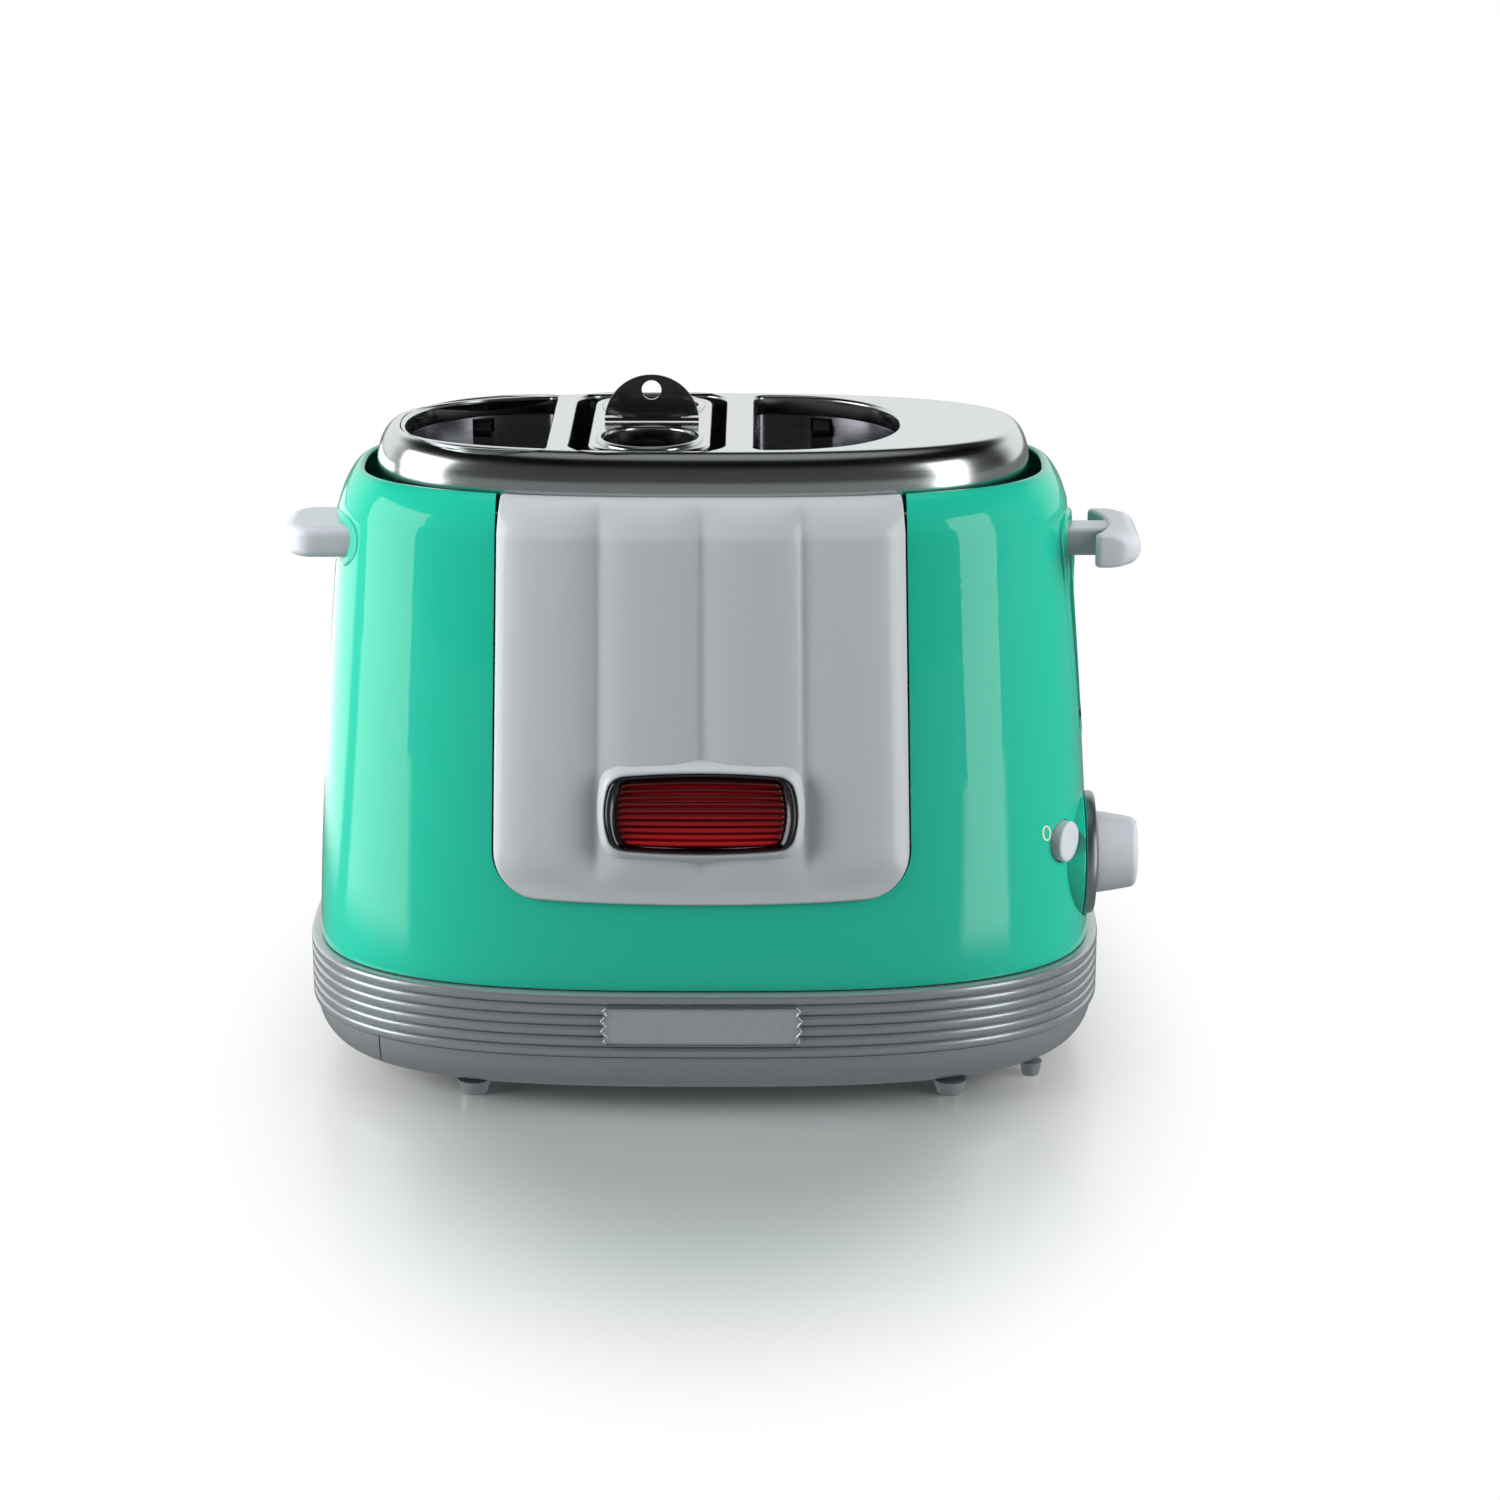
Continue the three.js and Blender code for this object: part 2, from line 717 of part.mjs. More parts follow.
function makeFrontPanel() {
  const stations = columnCount * 6;
  const rows = [
    panelBottom - overrun,
    panelBottom + columnFade,
    panelBottom + 2 * columnFade,
    panelBottom + shellHeight / 3,
    rimTop - 3 * columnFade,
    rollStart - rimLip,
  ];
  const halfAt = (z) => {
    const share = (z - panelBottom) / (rimTop - panelBottom);
    return panelBottomHalf + (panelTopHalf - panelBottomHalf) * share;
  };
  let body = frontSheet(stations, halfAt, (across) => {
    const outer = rows.map((z) => [panelOut(across, z), z]);
    const roll = rollPoints.map(([out, z], i) => [out + panelOut(across, z) * (1 - rollShares[i][0]), z]);
    const inner = [...rows].reverse().map((z) => [-shellWall, z]);
    return [...outer, ...roll, ...innerRollPoints, ...inner];
  });
  body = body.intersect(prismY(panelOutline(0), -halfDepth - 2 * overrun, 0));
  body = body.add(badgePrism(surroundHalfWidth, surroundHalfHeight, -shellWall / 2, surroundProud));
  body = body.subtract(
    badgePrism(badgeFrameHalfWidth + fit, badgeFrameHalfHeight + fit, badgeFloorProud, surroundProud + overrun),
  );
  add("front_panel", body, panelWhite);
}

function makeBadge() {
  const back = badgeFloorProud + fit;
  let frame = badgePrism(badgeFrameHalfWidth, badgeFrameHalfHeight, back, badgeFrameProud);
  frame = frame.subtract(
    badgePrism(lensHalfWidth + fit, lensHalfHeight + fit, back - overrun, badgeFrameProud + overrun),
  );
  add("badge_frame", frame, darkChrome);

  const pitch = (2 * (lensHalfHeight + badgeBarrel)) / lensRibs;
  const bottom = -lensHalfHeight - badgeBarrel;
  const outline = [[bottom, back]];
  for (let i = 0; i < lensRibs; i++) {
    outline.push([bottom + i * pitch, lensProud - lensRibDepth]);
    outline.push(...lensRibShares.map((share) => [bottom + (i + share) * pitch, lensProud]));
  }
  outline.push([-bottom, lensProud - lensRibDepth], [-bottom, back]);
  const ribbed = new THREE.ExtrudeGeometry(shapeOf(outline), { depth: 2 * halfDepth, bevelEnabled: false });
  ribbed.translate(0, 0, -halfDepth).applyMatrix4(facingX);
  const lens = solid(onFront(ribbed, badgeZ));
  add("badge_lens", lens.intersect(badgePrism(lensHalfWidth, lensHalfHeight, back - fit, surroundProud)), redLens);
}

// The name plate's outline: straight top and bottom, round ends
function plateOutline(gap) {
  const half = plateHalfWidth + gap;
  const tall = plateHalfHeight + gap;
  const points = [];
  for (const side of [1, -1])
    for (let i = 0; i <= plateEndSteps; i++) {
      const up = side * ((2 * i) / plateEndSteps - 1);
      points.push([side * (half + plateEndBulge * (1 - up * up)), plateZ + up * tall]);
    }
  return points;
}

function plateBlank(from, to) {
  const half = () => plateHalfWidth + 2 * plateEndBulge;
  const low = plateZ - plateHalfHeight - overrun;
  const high = plateZ + plateHalfHeight + overrun;
  return frontSheet(8, half, () => [[from, low], [to, low], [to, high], [from, high]]);
}

function makeNamePlate() {
  const blank = plateBlank(plateFloorProud + fit, plateProud);
  const outline = prismY(plateOutline(0), -halfDepth - 3 * overrun, -halfDepth / 2);
  add("name_plate", blank.intersect(outline), silverPaint);
}

function makeBaseBand() {
  const profile = [[-bandWall, bandBottom]];
  for (let i = 0; i < ribCount; i++) {
    const low = bandBottom + i * ribPitch;
    profile.push([grooveProud, low]);
    profile.push([ribProud, low + ribShoulder]);
    profile.push([ribProud, low + ribPitch - ribShoulder]);
  }
  profile.push([grooveProud, bandTop], [-bandWall, bandTop]);
  const pocket = plateBlank(plateFloorProud, plateProud + overrun).intersect(
    prismY(plateOutline(fit), -halfDepth - 4 * overrun, -halfDepth / 2),
  );
  add("base_band", swept(profile).subtract(pocket), silverPaint);
}

// The bowl under the band, closed at the bottom, with its inside at a wall's thickness
function bowl() {
  const steps = 6;
  const top = bandBottom - fit;
  const outer = [];
  const inner = [];
  for (let i = 0; i <= steps; i++) {
    const angle = (Math.PI / 2) * (i / steps);
    const acrossShare = 1 - Math.sin(angle);
    const upShare = 1 - Math.cos(angle);
    outer.push([bowlProud - bowlCornerWidth * acrossShare, footHeight + bowlHeight * upShare]);
    inner.push([
      bowlProud - panWall - (bowlCornerWidth - panWall) * acrossShare,
      panFloorTop + (top - panFloorTop) * upShare,
    ]);
  }
  return swept([[null, footHeight], ...outer, ...inner.reverse(), [null, panFloorTop]]);
}

const postPlaces = [
  [postLeftX, -postY],
  [postLeftX, postY],
  [postRightX, -postY],
  [postRightX, postY],
];

function makeBasePan(whole) {
  let pan = whole.subtract(
    block(-halfWidth - ribProud - overrun, trayFrontX + fit, -halfDepth, halfDepth, 0, bandBottom),
  );
  for (const [x, y] of postPlaces) {
    const top = chassisFloorBottom - fit;
    pan = pan.add(rod(postRadius, footHeight + fit, top, 12, "z", [x, y, 0]));
    pan = pan.subtract(rod(pilotRadius, top - screwLength, top + overrun, 10, "z", [x, y, 0]));
  }
  const inset = pedestalInset;
  const pedestalTop = magnetTop - magnetHeight - fit;
  pan = pan.add(
    block(
      rodX - magnetWidth / 2 + inset,
      rodX + magnetWidth / 2 - inset,
      leverY - magnetHalf + inset,
      leverY + magnetHalf - inset,
      footHeight + fit,
      pedestalTop,
    ),
  );
  pan = pan.subtract(
    block(-floorOpeningHalfLength, floorOpeningHalfLength, -floorOpeningHalf, floorOpeningHalf, 0, panFloorTop + fit),
  );
  const glandZ = footHeight + glandUp;
  pan = pan.subtract(
    rod(glandRadius + fit, terminalY + 2 * terminalHalfDepth, halfDepth + ribProud, 16, "y", [terminalX, 0, glandZ]),
  );
  add("base_pan", pan, silverPaint);
}

const magnetTop = trayDown - magnetGap;

function makeCrumbTray(whole) {
  const end = whole.intersect(
    block(-halfWidth - ribProud - overrun, trayFrontX, -halfDepth, halfDepth, 0, bandBottom),
  );
  const bottom = panFloorTop + fit;
  const left = trayFrontX - bowlCornerWidth / 2;
  let pan = block(left, crumbTrayRight, -crumbTrayHalf, crumbTrayHalf, bottom, bottom + crumbTrayWall);
  pan = pan.subtract(
    block(
      trayFrontX + crumbSheet,
      crumbTrayRight - crumbSheet,
      -crumbTrayHalf + crumbSheet,
      crumbTrayHalf - crumbSheet,
      bottom + crumbSheet,
      bottom + crumbTrayWall + overrun,
    ),
  );
  const web = block(left, trayFrontX, -crumbTrayHalf, crumbTrayHalf, panFloorTop - fit, bottom + crumbSheet);
  add("crumb_tray", end.add(pan).add(web), silverPaint);
}

function makeFeet() {
  const places = {
    foot_front_left: [leftFootX, -frontFootY, footTopRadius, footBottomRadius],
    foot_back_left: [leftFootX, frontFootY, footTopRadius, footBottomRadius],
    foot_front_right: [rightFootX, -frontFootY, footTopRadius, footBottomRadius],
    foot_back_right: [rightFootX, frontFootY, footTopRadius, footBottomRadius],
    foot_side_front: [sideFootX, -sideFootY, sideFootTopRadius, sideFootBottomRadius],
    foot_side_back: [sideFootX, sideFootY, sideFootTopRadius, sideFootBottomRadius],
  };
  for (const [name, [x, y, top, bottom]] of Object.entries(places)) {
    const profile = [[0, 0], [bottom, 0], [top, footHeight - fit], [0, footHeight - fit]];
    add(name, turned(profile, footSegments, "z", [x, y, 0]), silverPaint);
  }
}

function makeUnderside() {
  const top = footHeight - fit;
  const outline = roundedRectangle(ventHalfLength, ventHalf, ventMargin);
  const pitch = (2 * (ventHalf - ventMargin)) / (ventSlots - 1);
  const holes = [];
  for (let i = 0; i < ventSlots; i++) {
    const y = -ventHalf + ventMargin + i * pitch;
    const half = ventHalfLength - 2 * ventMargin;
    holes.push([[-half, y - ventSlotHalf], [half, y - ventSlotHalf], [half, y + ventSlotHalf], [-half, y + ventSlotHalf]]);
  }
  add("vent_plate", prism(outline, top - ventSheet, top, holes), blackPlastic);

  postPlaces.forEach(([x, y], i) => {
    const seat = standing;
    const profile = [
      [0, seat - screwLength],
      [screwShankRadius, seat - screwLength],
      [screwShankRadius, seat],
      [screwHeadRadius, seat],
      [screwHeadRadius, seat + screwHead / 2],
      [screwHeadRadius / 2, seat + screwHead],
      [0, seat + screwHead],
    ];
    add("chassis_screw_" + (i + 1), turned(profile, 12, "z", [x, y, 0]), zinc);
  });
}

// A bun slot's outline: a flat side towards the middle and a round side outwards
function slotOutline(flatX, side, gap) {
  const points = [];
  const corner = slotCorner + gap;
  const long = slotHalfLength + gap;
  const wide = slotWidth + gap - slotCorner;
  for (let i = 0; i <= slotStations; i++) {
    const angle = -Math.PI / 2 + (Math.PI * i) / slotStations;
    const c = Math.abs(Math.cos(angle)) ** (2 / slotRoundPower);
    const s = Math.sign(angle) * Math.abs(Math.sin(angle)) ** (2 / slotRoundPower);
    points.push([flatX + side * (slotCorner + wide * c), long * s]);
  }
  for (let i = 1; i <= slotCornerSteps; i++) {
    const turn = (Math.PI / 2) * (i / slotCornerSteps);
    points.push([flatX + side * (slotCorner - corner * Math.sin(turn)), long - corner * (1 - Math.cos(turn))]);
  }
  for (let i = slotCornerSteps; i >= 1; i--) {
    const turn = (Math.PI / 2) * (i / slotCornerSteps);
    points.push([flatX + side * (slotCorner - corner * Math.sin(turn)), corner * (1 - Math.cos(turn)) - long]);
  }
  return side > 0 ? points : points.reverse();
}

const wellOutline = (gap) =>
  shift(roundedRectangle(wellHalfWidth + gap, wellHalfLength + gap, wellCorner + gap), wellCentreX, 0);
const openings = (gap) => [
  slotOutline(leftSlotFlatX, -1, gap),
  slotOutline(rightSlotFlatX, 1, gap),
  wellOutline(gap),
];

function makeLid() {
  const skirt = rimTop - lidSkirt;
  const inside = lidSheet;
  const side = lidEdgeShares.map(([inShare, downShare]) => [-inShare * lidEdge, lidTop - downShare * lidEdge]);
  const back = side.slice(0, -1).map(([out, z]) => [out - inside, z]);
  const profile = [
    [lidFlange, skirt],
    [lidFlange, skirt + inside],
    [0, skirt + inside],
    ...side,
    [null, lidTop],
    [null, lidTop - inside],
    [-lidEdge - inside / 2, lidTop - inside],
    ...back.reverse(),
    [-inside, skirt],
  ];
  let lid = swept(profile, lidOutline);
  openings(lidSheet).forEach((outline) => {
    lid = lid.add(prism(outline, lidTop - collarDepth, lidTop - lidSheet / 2));
  });
  openings(0).forEach((outline) => {
    lid = lid.subtract(prism(outline, lidTop - 2 * collarDepth, lidTop + overrun));
  });
  add("top_lid", lid, polishedSteel);
}

function makeLiner(name, flatX, side, slotX) {
  const top = linerTop;
  const inner = slotOutline(flatX, side, linerInner);
  let liner = prism(slotOutline(flatX, side, linerOuter), standing, top).subtract(
    prism(inner, standing - overrun, top + overrun),
  );
  const span = slotHalfLength - linerReturn;
  const flatCut = [flatX - side * (linerOuter + overrun), flatX + side * slotCorner].sort((a, b) => a - b);
  liner = liner.subtract(block(...flatCut, -span, span, standing - overrun, top + overrun));
  const roundX = flatX + side * slotWidth;
  const roundCut = [roundX - side * 3 * linerReturn, roundX + side * (linerOuter + overrun)].sort((a, b) => a - b);
  liner = liner.subtract(
    block(...roundCut, -linerWindowHalf, linerWindowHalf, standing + linerWindowSill, top - linerWindowDrop),
  );
  const half = armHalfWidth + armSlotGap;
  const rear = slotHalfLength + linerOuter + overrun;
  liner = liner.subtract(
    block(slotX - half, slotX + half, slotHalfLength / 2, rear, standing - overrun, trayRest + armSlotHead),
  );
  const clipTop = linerTop - clipHoleDrop;
  liner = liner.subtract(
    block(
      slotX - clipShift - clipHoleHalf,
      slotX - clipShift + clipHoleHalf,
      slotHalfLength / 2,
      rear,
      clipTop - clipHoleHeight,
      clipTop,
    ),
  );
  add(name, liner, sheetSteel);
}

// A mica board in the YZ plane with notches down both edges
function makeHeater(name, x, half, drop) {
  const height = linerTop - drop - standing;
  const step = height / (2 * heaterNotches + 1);
  const right = [];
  for (let i = 0; i < heaterNotches; i++) {
    const low = standing + (2 * i + 1) * step;
    right.push([half, low], [half - heaterNotch, low], [half - heaterNotch, low + step], [half, low + step]);
  }
  const left = right.map(([y, z]) => [-y, z]).reverse();
  const outline = [[-half, standing], [half, standing], ...right, [half, standing + height], [-half, standing + height], ...left];
  add(name, prismX(outline, x, x + heaterSheet), mica);
}

function makeHeaters() {
  const leftLand = (leftSlotFlatX + wellCentreX - wellHalfWidth) / 2;
  const rightLand = (rightSlotFlatX + wellCentreX + wellHalfWidth) / 2;
  makeHeater("heater_left_outer", slotLeftX - linerOuter - fit - heaterSheet, heaterOuterHalf, heaterOuterDrop);
  makeHeater("heater_left_inner", leftLand - heaterSheet / 2, heaterInnerHalf, heaterInnerDrop);
  makeHeater("heater_right_inner", rightLand - heaterSheet / 2, heaterInnerHalf, heaterInnerDrop);
  makeHeater("heater_right_outer", slotRightX + linerOuter + fit, heaterOuterHalf, heaterOuterDrop);
}

function makeWellPlates() {
  const top = linerTop;
  const half = wellHalfWidth - linerSheet;
  const outline = [
    [wellCentreX - half, standing],
    [wellCentreX + half, standing],
    [wellCentreX + half, top],
    [wellCentreX - half, top],
  ];
  const front = prismY(outline, -wellPlateY - linerSheet, -wellPlateY);
  const back = prismY(outline, wellPlateY, wellPlateY + linerSheet);
  const slotHalf = armHalfWidth + armSlotGap;
  const slot = block(
    cageX - slotHalf,
    cageX + slotHalf,
    wellPlateY - overrun,
    wellPlateY + linerSheet + overrun,
    standing - overrun,
    trayRest + armSlotHead,
  );
  add("well_plate_front", front, sheetSteel);
  add("well_plate_back", back.subtract(slot), sheetSteel);
}

function makeChassis() {
  const plate = [
    [chassisFloorLeft, -chassisFloorHalfDepth],
    [chassisFloorRight, -chassisFloorHalfDepth],
    [chassisFloorRight, chassisFloorHalfDepth],
    [chassisFloorLeft, chassisFloorHalfDepth],
  ];
  const hole = (x) =>
    shift(
      [
        [-crumbHoleHalfWidth, -crumbHoleHalfLength],
        [crumbHoleHalfWidth, -crumbHoleHalfLength],
        [crumbHoleHalfWidth, crumbHoleHalfLength],
        [-crumbHoleHalfWidth, crumbHoleHalfLength],
      ],
      x,
      0,
    );
  let floor = prism(plate, chassisFloorBottom, chassisFloorTop, [hole(leftSlotX), hole(cageX), hole(rightSlotX)]);
  const gap = running + fit;
  floor = floor.subtract(
    block(
      rodX - magnetWidth / 2 - gap,
      rodX + magnetWidth / 2 + gap,
      leverY - magnetHalf - gap,
      leverY + magnetHalf + gap,
      chassisFloorBottom - overrun,
      chassisFloorTop + overrun,
    ),
  );
  for (const [x, y] of postPlaces)
    floor = floor.subtract(rod(pilotRadius, chassisFloorBottom - overrun, standing + overrun, 10, "z", [x, y, 0]));
  add("chassis_floor", floor, sheetSteel);

  makeEndPlate("chassis_end_left", leftEndX - sheet, leftEndHalf, linerTop - leftEndDrop);
  makeEndPlate("chassis_end_right", rightEndX, rightEndHalf, linerTop - rightEndDrop);
}

// A plate in the YZ plane with a foot turned to the left
function makeEndPlate(name, x, half, top) {
  const plate = block(x, x + sheet, -half, half, standing, top);
  const foot = block(x - endFlange, x + sheet / 2, -half / 2, half / 2, standing, standing + sheet);
  add(name, plate.add(foot), sheetSteel);
}

// A tray seen from above, with an arm to the beam behind it
function trayOutline(x, halfX, halfY) {
  return [
    [x - halfX, -halfY],
    [x + halfX, -halfY],
    [x + halfX, halfY],
    [x + armHalfWidth, halfY],
    [x + armHalfWidth, beamY - fit],
    [x - armHalfWidth, beamY - fit],
    [x - armHalfWidth, halfY],
    [x - halfX, halfY],
  ];
}

function makeCarriage() {
  const trays = {
    bun_tray_left: [leftSlotX, trayHalfWidth, trayHalfLength],
    bun_tray_right: [rightSlotX, trayHalfWidth, trayHalfLength],
    cage_platform: [cageX, platformHalfWidth, platformHalfLength],
  };
  for (const [name, [x, halfX, halfY]] of Object.entries(trays))
    add(name, prism(trayOutline(x, halfX, halfY), trayRest, trayRest + traySheet), sheetSteel);

  const beamLeft = leftSlotX - 2 * armHalfWidth;
  add(
    "carriage_beam",
    block(beamLeft, sidePlateX - fit, beamY, beamY + beamThick, trayRest, trayRest + beamHeight),
    sheetSteel,
  );

  const blockTop = leverZ + blockHalfHeight;
  const rear = beamY + beamThick + sidePlateRear;
  const front = leverY - armatureHalf;
  const back = leverY + blockHalfLength;
  const foot = trayRest + sidePlateFoot;
  const outline = [
    [front, trayRest],
    [rear, trayRest],
    [rear, foot],
    [back, leverZ - 2 * blockHalfHeight],
    [back, blockTop],
    [front, blockTop],
  ];
  const relief = [
    [front + armatureHalf, foot + armatureHalf],
    [back, foot + armatureHalf],
    [front + armatureHalf, leverZ - 3 * blockHalfHeight],
  ];
  add("carriage_plate", prismX(outline, sidePlateX, sidePlateX + sidePlateSheet, [relief]), sheetSteel);

  let slider = block(
    blockX,
    blockX + blockWidth,
    leverY - blockHalfLength,
    leverY + blockHalfLength,
    leverZ - blockHalfHeight,
    blockTop,
  );
  for (const y of [rodFrontY, rodBackY])
    slider = slider.subtract(
      rod(rodRadius + running, leverZ - 2 * blockHalfHeight, leverZ + 2 * blockHalfHeight, 16, "z", [rodX, y, 0]),
    );
  add("carriage_block", slider, blackPlastic);

  const armatureX = sidePlateX + sidePlateSheet + fit;
  add(
    "armature",
    block(armatureX, armatureX + armatureWidth, leverY - armatureHalf, leverY + armatureHalf, trayRest, trayRest + armatureSheet),
    zinc,
  );
}

function makeGuides() {
  const top = bracketZ + sheet;
  add("guide_rod_front", rod(rodRadius, standing, top, 16, "z", [rodX, rodFrontY, 0]), zinc);
  add("guide_rod_back", rod(rodRadius, standing, top, 16, "z", [rodX, rodBackY, 0]), zinc);
  let bracket = block(
    rightEndX + sheet + fit,
    blockX + blockWidth,
    leverY - blockHalfLength,
    leverY + blockHalfLength,
    bracketZ,
    top,
  );
  for (const y of [rodFrontY, rodBackY])
    bracket = bracket.subtract(rod(rodRadius + fit, bracketZ - overrun, top + overrun, 16, "z", [rodX, y, 0]));
  add("guide_bracket", bracket, sheetSteel);
  add("lift_spring", makeSpring(), zinc);
}

// A wire helix round the front guide rod
function makeSpring() {
  const bottom = standing + springWire;
  const top = leverZ - blockHalfHeight - fit - springWire;
  const steps = springCurls * springSteps;
  const sections = [];
  const points = [];
  for (let i = 0; i <= steps; i++) {
    const angle = (2 * Math.PI * i) / springSteps;
    const z = bottom + ((top - bottom) * i) / steps;
    const outward = [Math.cos(angle), Math.sin(angle)];
    points.push([springRadius * outward[0], springRadius * outward[1], z]);
    const section = [];
    for (let k = 0; k < springSides; k++) {
      const turn = (2 * Math.PI * k) / springSides;
      const radius = springRadius + springWire * Math.cos(turn);
      section.push([
        rodX + radius * outward[0],
        rodFrontY + radius * outward[1],
        z + springWire * Math.sin(turn),
      ]);
    }
    sections.push(section);
  }
  console.log("least gap between the spring's curls:", leastGap(points).toFixed(2), "mm");
  return solid(skinTube(sections));
}

// The least gap between points a curl or more apart
function leastGap(points) {
  let least = Infinity;
  for (let i = 0; i < points.length; i++)
    for (let j = i + springSteps / 2; j < points.length; j++) {
      const distance = Math.hypot(...points[i].map((value, axis) => value - points[j][axis]));
      least = Math.min(least, distance);
    }
  return least - 2 * springWire;
}

// A tube of sections, closed by a fan at each end
function skinTube(sections) {
  const loop = sections[0].length;
  const geometry = skin(sections, true);
  const index = Array.from(geometry.index.array).slice(0, 6 * loop * (sections.length - 1));
  const last = (sections.length - 1) * loop;
  for (let k = 1; k < loop - 1; k++) {
    index.push(0, k, k + 1);
    index.push(last, last + k + 1, last + k);
  }
  geometry.setIndex(index);
  return geometry;
}

function makeLever() {
  const barLeft = blockX + blockWidth + fit;
  const barRight = paddleReach - paddleWaist - barEnd;
  add(
    "lever_bar",
    block(barLeft, barRight, leverY - barHalfWidth, leverY + barHalfWidth, leverZ - barHalfHeight, leverZ + barHalfHeight),
    sheetSteel,
  );

  const half = paddleHalfLength;
  const corner = paddleCorner;
  const outline = [];
  const steps = 5;
  for (const side of [-1, 1])
    for (let i = 0; i <= steps; i++) {
      const angle = (Math.PI / 2) * (side < 0 ? i / steps : 1 - i / steps);
      const x = paddleReach - corner + corner * Math.sin(angle);
      outline.push([x, side * (half - corner + corner * Math.cos(angle))]);
    }
  const inner = [];
  const hollowSteps = 8;
  for (let i = 0; i <= hollowSteps; i++) {
    const along = 1 - (2 * i) / hollowSteps;
    inner.push([paddleReach - paddleDepth + paddleHollow * (1 - along * along), along * (half - paddleEdge)]);
  }
  const points = shift([...outline, ...inner], 0, leverY);
  const settings = {
    depth: 2 * (paddleHalfHeight - paddleEdge),
    bevelThickness: paddleEdge,
    bevelSize: paddleEdge,
    bevelOffset: -paddleEdge,
    bevelSegments: 2,
  };
  const geometry = new THREE.ExtrudeGeometry(shapeOf(points), settings);
  let paddle = solid(geometry.translate(0, 0, leverZ - paddleHalfHeight + paddleEdge));
  paddle = paddle.add(
    block(
      stemInsideX,
      paddleReach - paddleWaist + paddleEdge,
      leverY - stemHalfWidth,
      leverY + stemHalfWidth,
      leverZ - stemHalfHeight,
      leverZ + stemHalfHeight,
    ),
  );
  paddle = paddle.subtract(
    block(
      stemInsideX - overrun,
      barRight + fit,
      leverY - barHalfWidth - fit,
      leverY + barHalfWidth + fit,
      leverZ - barHalfHeight - fit,
      leverZ + barHalfHeight + fit,
    ),
  );
  add("lever_paddle", paddle, trimWhite);
}

function makeGrip() {
  const z = rimTop - gripDrop;
  const halfX = gripReach - halfWidth / 2;
  const outline = shift(roundedRectangle(halfX / 2, gripHalfLength, gripCorner), -gripReach + halfX / 2, leverY);
  const settings = {
    depth: 2 * (gripHalfHeight - gripEdge),
    bevelThickness: gripEdge,
    bevelSize: gripEdge,
    bevelOffset: -gripEdge,
    bevelSegments: 2,
  };
  const geometry = new THREE.ExtrudeGeometry(shapeOf(outline), settings);
  const blank = solid(geometry.translate(0, 0, z - gripHalfHeight + gripEdge));
  const low = z - 2 * gripHalfHeight;
  const high = z + 2 * gripHalfHeight;
  const wall = swept([[null, low], [fit, low], [fit, z], [fit, high], [null, high]]);
  const grip = blank.subtract(wall);
  const outside = block(-gripReach - overrun, 0, -halfDepth, halfDepth, low, high);
  add("side_grip", grip.intersect(outside), trimWhite);
}

function makeControls() {
  const edge = dialEdge;
  const hole = shaftRadius + running;
  const dial = [
    [hole, dialBackX],
    [dialRadius, dialBackX],
    [dialRadius, dialBackX + dialThick - edge],
    [dialRadius - edge, dialBackX + dialThick],
    [hole, dialBackX + dialThick],
  ];
  add("dial_plate", turned(dial, knobSegments, "x", knobPlace), silverPaint);

  const tip = knobBaseX + knobLength;
  const bore = shaftRadius + fit;
  const boreEnd = knobBaseX + shaftInKnob + fit;
  const knob = [
    [bore, knobBaseX],
    [knobRadius, knobBaseX],
    [knobTipRadius, tip - knobEdge],
    [knobTipRadius - knobEdge / 2, tip - knobEdge / 4],
    [knobTipRadius - 2 * knobEdge, tip],
    [0, tip],
    [0, boreEnd],
    [bore, boreEnd],
  ];
  add("timer_knob", turned(knob, knobSegments, "x", knobPlace), trimWhite);

  const shaftStart = boardX + boardSheet + fit + timerLength + fit;
  add("knob_shaft", rod(shaftRadius, shaftStart, knobBaseX + shaftInKnob, 16, "x", knobPlace), zinc);

  const face = buttonProud;
  const cap = [
    [0, face],
    [buttonRadius - buttonEdge, face],
    [buttonRadius, face - buttonEdge],
    [buttonRadius, -buttonDeep],
    [buttonStemRadius, -buttonDeep],
    [buttonStemRadius, -buttonDeep - buttonStem],
    [0, -buttonDeep - buttonStem],
  ];
  const points = cap.map(([radius, along]) => new THREE.Vector2(radius, along));
  const button = alongButton(new THREE.LatheGeometry([...points, points[0]], knobSegments));
  add("stop_button", button, trimWhite);
}

